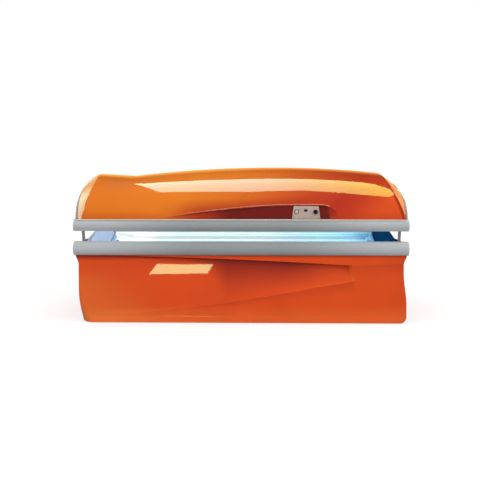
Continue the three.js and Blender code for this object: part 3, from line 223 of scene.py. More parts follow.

# %% [markdown]
# ## Orange lacquer
# The shells are moulded plastic under a metallic orange lacquer with a thick clear coat. Light and shade
# are painted into its colour: on the canopy a painted light fade runs from a yellow orange at the left
# shoulder to a red orange at the right, the bench is a red orange all over, and there is painted shade in
# the hollows and under the rails and painted highlight on a few edges. The fade is a ramp along X that leans
# a little with height, and the painted shade and highlight come from an attribute that each shell stores
# while it is formed. The coat is a second, sharper mirror over the satin colour.

# %% Lacquer
def ramp(tree, factor, stops):
    """A colour ramp over a factor, from a list of (place, colour)."""
    node = add(tree, "ValToRGB", {0: factor})
    while len(node.color_ramp.elements) < len(stops):
        node.color_ramp.elements.new(0.5)
    for element, (place, colour) in zip(node.color_ramp.elements, stops):
        element.position = place
        element.color = (*colour, 1)
    return node.outputs["Color"]


def grey(tree, value):
    return add(tree, "CombineColor", {0: value, 1: value, 2: value}).outputs[0]


FADE_FROM, FADE_TO = -1.1, 1.1


def lacquer(name, fade, half_shade_colour, full_shade_colour, lean):
    """A clear-coated orange: fade gives its colours along X in metres, a painted light fade; two shade colours paint
    shade and a pale orange paints highlights, by an attribute each shell stores.
    """
    finish, tree, shader = new_finish(name)
    place = add(tree, "SeparateXYZ", {0: add(tree, "TexCoord").outputs["Object"]})
    lift = times(tree, place.outputs["Z"], -lean)
    along = add(tree, "Math", {0: place.outputs["X"], 1: lift}, operation="ADD").outputs[0]
    along = between(tree, along, FADE_FROM - lean * 0.85, FADE_TO - lean * 0.85, how="LINEAR")
    colour = ramp(tree, along, [((x - FADE_FROM) / (FADE_TO - FADE_FROM), shade) for x, shade in fade])
    painted_shading = add(tree, "Attribute", attribute_name="painted_shading").outputs["Fac"]
    # Painted shade: the colour darkens towards the two shade colours as the attribute rises to 1.
    colour = colour_mix(tree, between(tree, painted_shading, 0.0, 0.5, how="LINEAR"), colour, half_shade_colour)
    colour = colour_mix(tree, between(tree, painted_shading, 0.5, 1.0, how="LINEAR"), colour, full_shade_colour)
    # Painted highlight: a pale orange where the attribute falls below zero.
    painted_highlight = between(tree, painted_shading, 0.0, -1.0, how="LINEAR")
    colour = colour_mix(tree, painted_highlight, colour, (0.86, 0.20, 0.03))
    cloud = between(tree, grain(tree, 3.0), 0.35, 0.65, 0.96, 1.03)
    colour = colour_mix(tree, 1.0, colour, grey(tree, cloud), "MULTIPLY")
    flake = between(tree, grain(tree, 1400, detail=0.0), 0.3, 0.7, 0.97, 1.03)
    colour = colour_mix(tree, 1.0, colour, grey(tree, flake), "MULTIPLY")
    tree.links.new(colour, shader.inputs["Base Color"])
    tree.links.new(between(tree, grain(tree, 60), 0.3, 0.7, 0.48, 0.56), shader.inputs["Roughness"])
    shader.inputs["Specular IOR Level"].default_value = 0.1
    shader.inputs["Coat Weight"].default_value = 1.0
    shader.inputs["Coat Roughness"].default_value = 0.02
    shader.inputs["Coat IOR"].default_value = 1.7
    bump(tree, shader, grain(tree, 35, detail=1.0), 0.03, 0.0004)
    return finish


# Painted light: yellow orange where more light falls on the left shoulder, red orange towards the right, paler again at
# the right end.
canopy_painted_light_fade = [(-1.1, (0.75, 0.172, 0.004)), (-0.35, (0.74, 0.182, 0.004)), (-0.05, (0.69, 0.142, 0.004))]
canopy_painted_light_fade += [(0.25, (0.60, 0.085, 0.003)), (0.45, (0.52, 0.046, 0.003)), (0.70, (0.455, 0.022, 0.002))]
canopy_painted_light_fade += [(0.85, (0.53, 0.032, 0.002)), (1.05, (0.70, 0.070, 0.003))]
# The bench is nearly even, with a little painted shade at its right end.
bench_fade = [(-1.1, (0.73, 0.066, 0.004)), (0.2, (0.74, 0.066, 0.003)), (0.7, (0.75, 0.072, 0.003)), (1.1, (0.70, 0.064, 0.003))]
canopy_lacquer = lacquer("canopy_lacquer", canopy_painted_light_fade, (0.47, 0.030, 0.002), (0.20, 0.005, 0.001), 1.2)
bench_lacquer = lacquer("bench_lacquer", bench_fade, (0.50, 0.037, 0.003), (0.27, 0.008, 0.002), 0.0)
print("lacquers:", canopy_lacquer.name, bench_lacquer.name)

# %% [markdown]
# ## Metals
# The rails are extruded aluminium with a satin anodised face, so their fine streaks run along X, the
# way they left the die. The frames and boxes inside are powder-coated steel with a fine orange-peel
# bump, the reflectors are bright rolled sheet, and the hinge pins are chrome.

# %% Metal finishes
def metal(name, colour, dark, roughness, stretch, scale, peel=0.0, metallic=1.0):
    """A metal with streaks or mottling between two shades, and a roughness that follows them."""
    finish, tree, shader = new_finish(name)
    streak = grain(tree, scale, stretch)
    shade = between(tree, streak, 0.32, 0.68)
    tree.links.new(colour_mix(tree, shade, dark, colour), shader.inputs["Base Color"])
    rough = between(tree, streak, 0.3, 0.7, roughness * 1.15, roughness * 0.88)
    tree.links.new(rough, shader.inputs["Roughness"])
    shader.inputs["Metallic"].default_value = metallic
    if peel:
        bump(tree, shader, grain(tree, 420), peel, 0.0004)
    return finish


def anodised_rail():
    """Satin aluminium with faint streaks along X, and painted light that makes it paler towards its two ends."""
    finish, tree, shader = new_finish("satin_aluminium")
    place = add(tree, "SeparateXYZ", {0: add(tree, "TexCoord").outputs["Object"]})
    out = add(tree, "Math", {0: place.outputs["X"]}, operation="ABSOLUTE").outputs[0]
    # Painted light: the colour is paler towards both ends of the rail.
    ends = between(tree, out, 0.25, 1.05)
    colour = colour_mix(tree, ends, (0.39, 0.42, 0.43), (0.60, 0.63, 0.65))
    streak = grain(tree, 12, (0.4, 60, 60))
    tone = between(tree, streak, 0.32, 0.68, 0.96, 1.03)
    tree.links.new(colour_mix(tree, 1.0, colour, grey(tree, tone), "MULTIPLY"), shader.inputs["Base Color"])
    tree.links.new(between(tree, streak, 0.3, 0.7, 0.46, 0.38), shader.inputs["Roughness"])
    shader.inputs["Metallic"].default_value = 0.3
    return finish


satin_aluminium = anodised_rail()
# The canopy rail's lip bead is painted a pale cream, a painted highlight line along the rail's top.
lip_painted_highlight = metal("rail_lip_painted_highlight", (0.80, 0.76, 0.68), (0.74, 0.70, 0.63), 0.35, (0.4, 60, 60), 12, 0.0, 0.1)
powder_steel = metal("powder_coated_steel", (0.50, 0.51, 0.52), (0.45, 0.46, 0.47), 0.5, (1, 1, 1), 30, 0.25, 0.0)
bright_sheet = metal("bright_reflector_sheet", (0.82, 0.84, 0.86), (0.76, 0.78, 0.80), 0.12, (1, 30, 30), 6)
chrome = metal("polished_chrome", (0.80, 0.80, 0.79), (0.72, 0.72, 0.71), 0.10, (1, 1, 1), 80)
strut_enamel = metal("strut_enamel", (0.30, 0.31, 0.33), (0.26, 0.27, 0.29), 0.35, (1, 1, 1), 40, 0.15, 0.0)
panel_silver = metal("silver_control_plate", (0.60, 0.46, 0.41), (0.55, 0.42, 0.37), 0.42, (30, 1, 1), 20, 0.0, 0.2)
print("metal finishes:", satin_aluminium.name, powder_steel.name, bright_sheet.name, chrome.name)

# %% [markdown]
# ## Plastics and rubber
# Grey moulded plastic shows a fine spark-eroded texture, black knobs are a little glossier, and the
# feet are matt rubber. One recipe serves them all: a base shade, a slow mottle, a fine bump.

# %% Plastic finishes
def plastic(name, colour, roughness, texture, depth, coat=0.0):
    finish, tree, shader = new_finish(name)
    mottle = between(tree, grain(tree, 14), 0.3, 0.7)
    darker = tuple(c * 0.94 for c in colour)
    tree.links.new(colour_mix(tree, mottle, darker, colour), shader.inputs["Base Color"])
    rough = between(tree, grain(tree, 90), 0.3, 0.7, roughness * 0.9, roughness * 1.1)
    tree.links.new(rough, shader.inputs["Roughness"])
    shader.inputs["Coat Weight"].default_value = coat
    bump(tree, shader, grain(tree, texture), 0.3, depth)
    return finish


grey_plastic = plastic("grey_moulded_plastic", (0.33, 0.34, 0.34), 0.45, 700, 0.0003)
# The lampholders are no lamps: their glow is painted light from the tubes.
lampholder_glow_plastic = plastic("lampholder_painted_tube_glow", (0.58, 0.74, 0.92), 0.4, 700, 0.0002)
holder_glow = lampholder_glow_plastic.node_tree.nodes["Principled BSDF"].inputs
holder_glow["Emission Color"].default_value = (0.062, 0.185, 0.35, 1)
holder_glow["Emission Strength"].default_value = 1.0
silvered_plastic = plastic("silvered_button", (0.60, 0.57, 0.49), 0.22, 900, 0.0001, 1.0)
black_plastic = plastic("black_moulding", (0.012, 0.012, 0.013), 0.3, 900, 0.0002)
dark_lens = plastic("dark_display_lens", (0.035, 0.03, 0.035), 0.12, 60, 0.0001, 0.8)
foot_rubber = plastic("soft_foot_rubber", (0.03, 0.03, 0.03), 0.75, 500, 0.0004)
print("plastic finishes:", grey_plastic.name, black_plastic.name, dark_lens.name, foot_rubber.name)

# %% [markdown]
# ## Lit tubes, end trims painted with their light, and clear acrylic
# The tubes are lit. Their light is white at the left and turns to blue towards the right, so the tube's
# glow is a ramp along X. The bright sheet behind them mirrors so much of it that it shines too, which
# a weaker glow of the same colours gives as a painted reflection. The end trims' colour is painted tube
# light: pale blue at the left end, dark blue at the right. The acrylic sheets are clear: a surface that
# lets light through and mirrors a little more at a flat angle, which a mix of a Transparent and a Glossy
# shader by Layer Weight gives.

# %% Glowing and clear finishes
def tube_light(tree):
    """The colour of the tubes' light along X."""
    place = add(tree, "SeparateXYZ", {0: add(tree, "TexCoord").outputs["Object"]})
    along = between(tree, place.outputs["X"], -1.1, 1.1, how="LINEAR")
    stops = [(0.02, (1.0, 1.0, 1.0)), (0.15, (0.98, 1.0, 1.0)), (0.18, (0.61, 0.73, 0.73)), (0.58, (0.57, 0.70, 0.70))]
    stops += [(0.67, (0.46, 0.62, 0.70)), (0.81, (0.36, 0.64, 0.71)), (0.885, (0.28, 0.62, 0.78)), (0.955, (0.14, 0.37, 0.64))]
    return ramp(tree, along, stops)


def lit_sheet():
    """The bright sheet behind the tubes, which shines with their light."""
    finish, tree, shader = new_finish("lit_reflector_sheet")
    roll = grain(tree, 6, (1, 30, 30))
    tree.links.new(grey(tree, between(tree, roll, 0.32, 0.68, 0.74, 0.82)), shader.inputs["Base Color"])
    tree.links.new(between(tree, roll, 0.3, 0.7, 0.16, 0.10), shader.inputs["Roughness"])
    shader.inputs["Metallic"].default_value = 1.0
    tree.links.new(tube_light(tree), shader.inputs["Emission Color"])
    place = add(tree, "SeparateXYZ", {0: add(tree, "TexCoord").outputs["Object"]})
    out = add(tree, "Math", {0: place.outputs["Y"]}, operation="ABSOLUTE").outputs[0]
    tree.links.new(between(tree, out, 0.405, 0.43, 0.45, 0.8), shader.inputs["Emission Strength"])
    return finish


def tube_glass():
    finish, tree, shader = new_finish("lit_tube_glass")
    tree.links.new(tube_light(tree), shader.inputs["Emission Color"])
    shader.inputs["Emission Strength"].default_value = 1.0
    powder = between(tree, grain(tree, 120), 0.3, 0.7, 0.80, 0.90)
    tree.links.new(grey(tree, powder), shader.inputs["Base Color"])
    shader.inputs["Roughness"].default_value = 0.15
    return finish


def trim_tube_light():
    finish, tree, shader = new_finish("end_trim_painted_tube_light")
    place = add(tree, "SeparateXYZ", {0: add(tree, "TexCoord").outputs["Object"]})
    # Painted tube light: pale blue at the left end, dark blue at the right.
    side = between(tree, place.outputs["X"], -0.5, 0.5)
    mottle = between(tree, grain(tree, 9), 0.3, 0.7)
    pale = colour_mix(tree, mottle, (0.555, 0.60, 0.81), (0.575, 0.62, 0.82))
    blue = colour_mix(tree, mottle, (0.0045, 0.055, 0.136), (0.0055, 0.060, 0.148))
    tree.links.new(colour_mix(tree, side, pale, blue), shader.inputs["Base Color"])
    shader.inputs["Specular IOR Level"].default_value = 0.0
    rough = between(tree, grain(tree, 40), 0.3, 0.7, 0.5, 0.6)
    tree.links.new(rough, shader.inputs["Roughness"])
    return finish


def clear_sheet():
    finish, tree, shader = new_finish("clear_acrylic_sheet")
    tree.nodes.remove(shader)
    smear = between(tree, grain(tree, 5, (1, 3, 3)), 0.3, 0.7, 0.02, 0.04)
    gloss = add(tree, "BsdfGlossy", {"Color": (1, 1, 1, 1), "Roughness": smear})
    tint = between(tree, grain(tree, 2), 0.3, 0.7)
    through = add(tree, "BsdfTransparent", {0: colour_mix(tree, tint, (0.95, 0.975, 0.98), (0.97, 0.985, 0.99))})
    facing = add(tree, "LayerWeight", {"Blend": 0.5}).outputs["Facing"]
    mirror = add(tree, "Math", {0: facing, 1: 5.0}, operation="POWER").outputs[0]
    mirror = between(tree, mirror, 0.0, 1.0, 0.03, 0.4, "LINEAR")
    both = add(tree, "MixShader", {0: mirror, 1: through.outputs[0], 2: gloss.outputs[0]})
    tree.links.new(both.outputs[0], tree.nodes["Material Output"].inputs["Surface"])
    return finish


lit_glass = tube_glass()
lit_reflector = lit_sheet()
tube_lit_trim = trim_tube_light()
clear_acrylic = clear_sheet()
print("clear and glowing finishes:", lit_glass.name, tube_lit_trim.name, clear_acrylic.name)

# %% [markdown]
# ## The canopy's form
# The canopy is an arch drawn out along X, but hardly any line on it is straight: its crest is low at
# the left, dips and then climbs into a long hump, and both ends are cut by a broad bevel. A formula
# for one point of the arch, at a place x and an angle round the arch, holds all of that.

# %% Crest, bevels and arch
rail_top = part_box("canopy_rail")[1].z
cover_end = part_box("canopy_cover")[1].x
arch_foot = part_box("canopy_rear_cover")[0].z
ARCH_MIDDLE = 0.003
arch_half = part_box("canopy_rear_cover")[1].y - ARCH_MIDDLE
ARCH_ROUND = 2 / 2.3
SEAM_Y = 0.190
SEAM_GAP = 0.00015
DIP_X, CREST_X = -0.771, 0.250
LEFT_BEVEL, LEFT_DROP = 0.050, 0.034
SHOULDER_BEVEL, SHOULDER_DROP = 0.035, 0.016


def crest_at(x):
    if x < DIP_X:
        return rail_top + 0.304 - 0.012 * soft(x, -1.050, DIP_X)
    if x < CREST_X:
        return rail_top + 0.352 - 0.060 * ((x - CREST_X) / (CREST_X - DIP_X)) ** 2
    return rail_top + 0.352 - 0.042 * ((x - CREST_X) / 0.770) ** 2


def shoulder(angle):
    """Where the left bevel is broadest: between its foot and the crest."""
    return soft(angle, radians(12), radians(55)) * (1 - 0.7 * soft(angle, radians(65), radians(90)))


def bevel_length(side, angle):
    if side < 0:
        return LEFT_BEVEL + SHOULDER_BEVEL * shoulder(angle)
    return 0.003 + 0.118 * max(0, sin(angle)) ** 1.3


def bevel_drop(x, angle):
    """How far the bevel at the ends has taken the surface in."""
    length = bevel_length(x, angle)
    full = LEFT_DROP + SHOULDER_DROP * shoulder(angle) if x < 0 else 0.008 + 0.057 * max(0, sin(angle)) ** 1.3 + 0.022 * shoulder(angle)
    t = share(abs(x), cover_end - length, cover_end)
    return full * mix(t, t * t, 0.3)


def arch_point(x, angle):
    drop = bevel_drop(x, angle)
    side = copysign(abs(cos(angle)) ** ARCH_ROUND, cos(angle))
    up = max(0, sin(angle)) ** ARCH_ROUND
    y = ARCH_MIDDLE - side * (arch_half - drop)
    return Vector((x, y, arch_foot + up * (crest_at(x) - drop - arch_foot)))


def angle_at_height(x, z):
    angle = 0.0
    for _ in range(6):
        up = share(z, arch_foot, crest_at(x) - bevel_drop(x, angle))
        angle = asin(up ** (1 / ARCH_ROUND))
    return angle


def angle_behind(x, y):
    angle = pi / 2
    for _ in range(6):
        side = share(y, ARCH_MIDDLE, ARCH_MIDDLE + arch_half - bevel_drop(x, angle))
        angle = pi - acos(side ** (1 / ARCH_ROUND))
    return angle


print("crest at the dip and at the top:", round(crest_at(DIP_X), 3), round(crest_at(CREST_X), 3))

# %% [markdown]
# ## Columns that follow the bevels
# A crisp bevel needs an edge of the mesh right along its line. The line at the right end slants, so the
# grid's columns are not at fixed x: each belongs to the left bevel, the body or the right bevel, and
# its x is worked out for each angle round the arch.

# %% Columns of the canopy
BODY_COLUMNS, BEVEL_COLUMNS = 290, 8
canopy_columns = [("left", t) for t in evenly(0, 1, BEVEL_COLUMNS)]
canopy_columns += [("body", t) for t in evenly(0, 1, BODY_COLUMNS)[1:]]
canopy_columns += [("right", t) for t in evenly(0, 1, BEVEL_COLUMNS)[1:]]


def column_x(column, angle):
    zone, t = canopy_columns[column]
    left = -cover_end + bevel_length(-1, angle)
    right = cover_end - bevel_length(1, angle)
    if zone == "left":
        return mix(-cover_end, left, t)
    if zone == "body":
        return mix(left, right, t)
    return mix(right, cover_end, t)


print("canopy columns:", len(canopy_columns))

# %% [markdown]
# ## The canopy cover
# The front cover carries the styling: a scoop above the rail that starts as nothing at the left and ends
# in a round lip at the right, a soft cove above the scoop, and a faint ridge along the hump. Each is a
# push on the arch's points, and rows of the grid run along each line so that it stays crisp.
# How deep a point lies in the scoop, with the cove, a strip above the rail and the bevel's crease, sets the painted
# shade in the attribute that the lacquer reads.

# %% Scoop, cove and ridge
SCOOP_FLOOR = -0.506
LIP_START, LIP_RISE, LIP_EDGE = 0.004, 0.083, 0.006
BEAD_TALL, BEAD_OUT = 0.008, 0.0026
COVE_DEPTH = 0.013
RIDGE_ANGLE, RIDGE_WIDTH, RIDGE_HEIGHT = radians(64), radians(10), 0.0035


def lip_at(x):
    t = share(x, -0.512, 0.330)
    rise = LIP_START + LIP_RISE * (1 - (1 - t) ** 1.6)
    end = share(x, 0.548, 0.642)
    return rail_top + mix(rise, LIP_START, 1 - sqrt(1 - end * end))


def scoop_share(x):
    return soft(x, -0.600, -0.050) * (1 - soft(x, 0.575, 0.642))


def bead_push(x, t):
    """A thin half-round bead along the scoop's lip."""
    return BEAD_OUT * sin(pi * t) * soft(x, -0.56, -0.36) * (1 - soft(x, 0.632, 0.650))


def cove_top(x):
    return 0.834 + 0.06 * (x + 0.2) ** 2


def cove_push(x, z):
    if z >= cove_top(x):
        return 0.0
    strength = soft(x, -0.62, -0.25) * (1 - soft(x, 0.38, 0.62))
    return COVE_DEPTH * strength * (1 - share(z, lip_at(x), cove_top(x)))


def ridge_push(x, angle):
    strength = soft(x, -0.72, -0.35) * (1 - soft(x, -0.05, 0.40))
    return RIDGE_HEIGHT * strength * max(0, 1 - abs(angle - RIDGE_ANGLE) / RIDGE_WIDTH)


FLOOR_ROWS, LIP_ROWS, BEAD_ROWS, COVE_ROWS, FRONT_ROWS, TOP_ROWS, BACK_ROWS = 10, 8, 14, 12, 30, 14, 12
cover_rows = [("floor", t) for t in evenly(0, 1, FLOOR_ROWS)]
cover_rows += [("lip", t) for t in evenly(0, 1, LIP_ROWS)[1:]]
cover_rows += [("bead", t) for t in evenly(0, 1, BEAD_ROWS)[1:]]
cover_rows += [("cove", t) for t in evenly(0, 1, COVE_ROWS)[1:]]
cover_rows += [("front", t) for t in evenly(0, 1, FRONT_ROWS)[1:]]
cover_rows += [("top", t) for t in evenly(0, 1, TOP_ROWS)[1:]]
cover_rows += [("back", t) for t in evenly(0, 1, BACK_ROWS)[1:]]


def bevel_painted_shadow(column):
    """A painted shadow line where the right bevel meets the body."""
    zone, t = canopy_columns[column]
    if zone == "body":
        return 0.95 * soft(t, 0.989, 1)
    return 0.35 if zone == "right" and t < 0.2 else 0.0


def cover_point(column, row):
    """A point of the front cover and the painted shade there."""
    zone, t = cover_rows[row]
    if zone in ("floor", "lip", "bead", "cove"):
        x = column_x(column, 0.3)
        low, lip = rail_top + 0.0003, lip_at(x)
        inside = scoop_share(x)
        if zone == "floor":
            z = mix(low, lip, t)
            level = inside
        elif zone == "lip":
            z = mix(lip, lip + LIP_EDGE, t)
            level = inside * (1 - t * t)
        elif zone == "bead":
            z = lip + LIP_EDGE + BEAD_TALL * t
            level = 0.0
        else:
            z = mix(lip + LIP_EDGE + BEAD_TALL, cove_top(x), t)
            level = 0.0
        x = column_x(column, angle_at_height(x, z))
        on_arch = arch_point(x, angle_at_height(x, z)).y + cove_push(x, z)
        y = mix(on_arch, SCOOP_FLOOR, level) - (bead_push(x, t) if zone == "bead" else 0)
        # Painted shade: deepest in the scoop, softer in the cove and just above the rail, and a painted shadow line at
        # the right bevel.
        dark = max(level ** 2.2, 0.5 * cove_push(x, z) / COVE_DEPTH, 0.2 * (1 - soft(z, rail_top, rail_top + 0.07)))
        dark = max(dark, bevel_painted_shadow(column))
        return Vector((x, y, z)), dark
    x = column_x(column, pi / 3)
    start = angle_at_height(x, cove_top(x))
    angle = {"front": mix(start, RIDGE_ANGLE, t), "top": mix(RIDGE_ANGLE, pi / 2, t)}.get(zone)
    if zone == "back":
        angle = mix(pi / 2, angle_behind(x, SEAM_Y - SEAM_GAP), t)
    x = column_x(column, angle)
    point = arch_point(x, angle)
    push = ridge_push(x, angle)
    return point + Vector((0, -cos(angle), sin(angle))) * push, bevel_painted_shadow(column)


print("cover rows:", len(cover_rows))

# %% Canopy cover
SHELL_WALL = 0.005
bm = formed_sheet(len(canopy_columns) - 1, len(cover_rows) - 1, cover_point)
face_out(bm, (0, 0, 0.4))
cover = make_piece(bm, "canopy_front_shell", "canopy", ["canopy_cover"], [canopy_lacquer], 13)
give_wall(cover, SHELL_WALL)
print("canopy cover:", count(cover), "triangles")

# %% [markdown]
# ## The canopy's rear cover
# Behind a seam on the top the shell goes on down to the hinge as a second moulding. It is the same arch
# without any styling, so the same columns and point formula make it.

# %% Rear cover
REAR_ROWS = 40
REAR_LIMIT = ARCH_MIDDLE + arch_half - 0.0008


def place_on_rear(column, row):
    x = column_x(column, 3 * pi / 4)
    angle = mix(angle_behind(x, SEAM_Y + SEAM_GAP), pi, row / REAR_ROWS)
    point = arch_point(column_x(column, angle), angle)
    point.y = min(point.y, REAR_LIMIT)
    return point, 0.0


bm = formed_sheet(len(canopy_columns) - 1, REAR_ROWS, place_on_rear)
face_out(bm, (0, 0, 0.4))
rear_cover = make_piece(bm, "canopy_rear_shell", "canopy", ["canopy_rear_cover"], [canopy_lacquer], 13)
give_wall(rear_cover, SHELL_WALL)
print("rear cover:", count(rear_cover), "triangles")

# %% [markdown]
# ## The canopy's end caps
# Each end of the canopy is closed by a grey moulded arch that follows the bevelled shell outside and the
# clear sheet inside. Two edge chains, one along each line, are bridged into a flat ring, which is
# then extruded to its thickness and gets rounded rims. A thin flange lines the tunnel's end.

# %% End caps
arch_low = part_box("canopy_acrylic")[0]
BED_MIDDLE = -0.00685
TUNNEL_RADIUS, TUNNEL_Z, TUNNEL_ANGLE = 0.5098, 0.3822, radians(31.3)
FLANGE_WALL, FLANGE_ANGLE = 0.004, radians(44)
CAP_STEPS = 72


CAP_TUCK = 0.014


def cap_outline(x):
    """The cap's outer line, from the front beam over the top to the rear beam."""
    front = angle_at_height(x, rail_top + 0.0003)
    line = [(-0.4817, arch_foot), (-0.4817, rail_top + 0.0003)]
    for a in evenly(front, pi, CAP_STEPS):
        tuck = CAP_TUCK * soft(sin(a), 0.45, 0.75)
        line.append(tuple((arch_point(x, a) + Vector((0, cos(a), -sin(a))) * tuck).yz))
    return line + [(0.480, arch_foot)]


def chain(bm, points):
    verts = [bm.verts.new(p) for p in points]
    return [bm.edges.new(pair) for pair in zip(verts, verts[1:])]


def round_rims(bm, width, segments, sharp=40):
    edges = [e for e in bm.edges if e.is_manifold and e.calc_face_angle(0) > radians(sharp)]
    bmesh.ops.bevel(bm, geom=edges, offset=width, affect="EDGES", segments=segments, profile=0.5, material=-1, clamp_overlap=True)


for side, hand in ((-1, "left"), (1, "right")):
    low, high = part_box(f"canopy_end_cap_{hand}")
    inner_x, outer_x = (high.x, low.x) if side < 0 else (low.x, high.x)
    plate_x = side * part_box("canopy_rail")[1].x
    outline = cap_outline(side * cover_end)
    bm = bmesh.new()
    outer = chain(bm, [(plate_x, y, z) for y, z in outline])
    turns = evenly(pi - TUNNEL_ANGLE, TUNNEL_ANGLE, len(outline) - 1)
    ring = [(plate_x, BED_MIDDLE + TUNNEL_RADIUS * cos(a), TUNNEL_Z + TUNNEL_RADIUS * sin(a)) for a in turns]
    inner = chain(bm, ring)
    bmesh.ops.bridge_loops(bm, edges=outer + inner)
    grown = bmesh.ops.extrude_face_region(bm, geom=bm.faces[:])
    moved = [v for v in grown["geom"] if isinstance(v, bmesh.types.BMVert)]
    bmesh.ops.translate(bm, vec=(outer_x - plate_x, 0, 0), verts=moved)
    bmesh.ops.recalc_face_normals(bm, faces=bm.faces)
    round_rims(bm, 0.003, 3)
    profile = [(x, BED_MIDDLE, TUNNEL_Z + r) for x in (inner_x, outer_x - side * 0.0065) for r in (TUNNEL_RADIUS, TUNNEL_RADIUS + FLANGE_WALL)]
    corners = [bm.verts.new(profile[k]) for k in (0, 1, 3, 2)]
    section = bm.faces.new(corners)
    about = Matrix.Rotation(pi / 2 - FLANGE_ANGLE, 4, "X")
    middle = (0, BED_MIDDLE, TUNNEL_Z)
    bmesh.ops.rotate(bm, cent=middle, matrix=about, verts=corners)
    bmesh.ops.spin(bm, geom=[section, *section.edges, *corners], cent=middle, axis=(1, 0, 0), angle=2 * FLANGE_ANGLE - pi, steps=48)
    bmesh.ops.recalc_face_normals(bm, faces=bm.faces)
    cap = make_piece(bm, f"canopy_cap_{hand}", "canopy", [f"canopy_end_cap_{hand}"], [grey_plastic])
    print(cap.name, count(cap), "triangles")

# %% [markdown]
# ## The two rails
# The rails are aluminium extrusions with a bulging front face. An extrusion is made here as in the
# factory: one section, pushed along X. Spin draws the bulge from a single point, two more points close
# the section, and its corners are rounded. The canopy's rail has a thin lip along its top front edge.

# %% Rails
RAIL_BULGE, RAIL_CORNER = 0.024, 0.004


def rail_section(bm, low, high, x):
    """The closed outline of a rail, filled, at one x."""
    half = (high.z - low.z) / 2
    radius = (half * half + RAIL_BULGE * RAIL_BULGE) / (2 * RAIL_BULGE)
    middle = (x, low.y + radius, low.z + half)
    start = bm.verts.new((x, low.y + RAIL_BULGE, high.z))
    sweep = 2 * asin(half / radius)
    spun = bmesh.ops.spin(bm, geom=[start], cent=middle, axis=(1, 0, 0), angle=sweep, steps=28)
    end = [v for v in spun["geom_last"] if isinstance(v, bmesh.types.BMVert)][0]
    back = [bm.verts.new((x, high.y, z)) for z in (low.z, high.z)]
    for pair in ((end, back[0]), (back[0], back[1]), (back[1], start)):
        bm.edges.new(pair)
    return bmesh.ops.contextual_create(bm, geom=bm.edges[:])["faces"]


def extruded_rail(low, high, x_from, x_to):
    bm = bmesh.new()
    section = rail_section(bm, low, high, x_from)
    grown = bmesh.ops.extrude_face_region(bm, geom=section)
    moved = [v for v in grown["geom"] if isinstance(v, bmesh.types.BMVert)]
    bmesh.ops.translate(bm, vec=(x_to - x_from, 0, 0), verts=moved)
    bmesh.ops.recalc_face_normals(bm, faces=bm.faces)
    return bm


def long_corners(bm):
    return [e for e in bm.edges if abs(e.verts[0].co.x - e.verts[1].co.x) > 0.01 and e.calc_face_angle(0) > radians(25)]


LIP_DEEP, LIP_TALL = 0.0125, 0.0065
for half_name in ("bench", "canopy"):
    low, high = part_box(f"{half_name}_rail")
    bm = extruded_rail(low, high, low.x, high.x)
    bmesh.ops.bevel(bm, geom=long_corners(bm), offset=RAIL_CORNER, affect="EDGES", segments=4, profile=0.5, material=-1)
    if half_name == "canopy":
        lip_front = low.y + RAIL_BULGE - 0.0175
        bead = bmesh.ops.create_cube(bm, size=1)["verts"]
        bmesh.ops.scale(bm, vec=(high.x - low.x, LIP_DEEP, LIP_TALL), verts=bead)
        bmesh.ops.translate(bm, vec=(0, lip_front + LIP_DEEP / 2, high.z - LIP_TALL / 2), verts=bead)
        rims = list({e for v in bead for e in v.link_edges})
        for face in {f for v in bead for f in v.link_faces}:
            # The bead gets the pale finish: a painted highlight along the rail's top.
            face.material_index = 1
        bmesh.ops.bevel(bm, geom=rims, offset=0.002, affect="EDGES", segments=3, profile=0.5, material=-1)
    rail = make_piece(bm, f"{half_name}_rail_extrusion", half_name, [f"{half_name}_rail"], [satin_aluminium, lip_painted_highlight])
    print(rail.name, count(rail), "triangles")

# %% [markdown]
# ## Rail caps
# A cap closes each rail end. It has the rail's own section, so the same function starts it, and a round
# outer rim that softens the rail's silhouette.

# %% Rail caps
for half_name in ("bench", "canopy"):
    for side, hand in ((-1, "left"), (1, "right")):
        low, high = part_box(f"{half_name}_rail_cap_{hand}")
        near, far = (high.x, low.x) if side < 0 else (low.x, high.x)
        bm = extruded_rail(low, high, near, far)
        outer = [e for e in bm.edges if all(abs(v.co.x - far) < 1e-6 for v in e.verts)]
        bmesh.ops.bevel(bm, geom=long_corners(bm) + outer, offset=0.006, affect="EDGES", segments=4, profile=0.5, material=-1, clamp_overlap=True)
        cap = make_piece(bm, f"{half_name}_rail_end_{hand}", half_name, [f"{half_name}_rail_cap_{hand}"], [satin_aluminium])
        print(cap.name, count(cap), "triangles")

# %% [markdown]
# ## The bench's front panel
# The panel under the bench rail is one moulding with a long wedge pressed into it. A lip hangs over the
# wedge's top edge, a crease runs along its foot, and it closes at the right on a slanted edge. The left
# end rolls back like a hull and the foot kicks out. As with the canopy, a formula gives the depth
# of the face at any x and z, and the grid's rows and columns follow the lines.

# %% Lines of the front panel
panel_low, panel_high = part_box("bench_front_panel")
PANEL_END = 1.098
PANEL_FOOT, PANEL_TOP = panel_low.z - 0.009, panel_high.z
WEDGE_LEFT, WEDGE_RIGHT = -1.017, 0.734
WEDGE_DEPTH, WEDGE_SLANT = 0.046, 0.29
REVEAL = 0.003


def lip_below(x):
    t = share(x, -1.085, 0.721)
    return 0.446 - 0.062 * t ** 1.8 + 0.013 * share(x, 0.76, 1.10)


def crease_at(x):
    return 0.054 + 0.236 * share(x, WEDGE_LEFT, 0.755) ** 1.6


def hull_share(z):
    return share(z, 0.230, 0) ** 2


def lip_flare(z):
    return 0.020 * soft(z, 0.395, 0.458)


def right_edge(z):
    t = share(z, 0.045, 0)
    return PANEL_END + lip_flare(z) + 0.020 * (1 - soft(z, 0.115, 0.340)) - 0.045 * (1 - sqrt(1 - t * t))


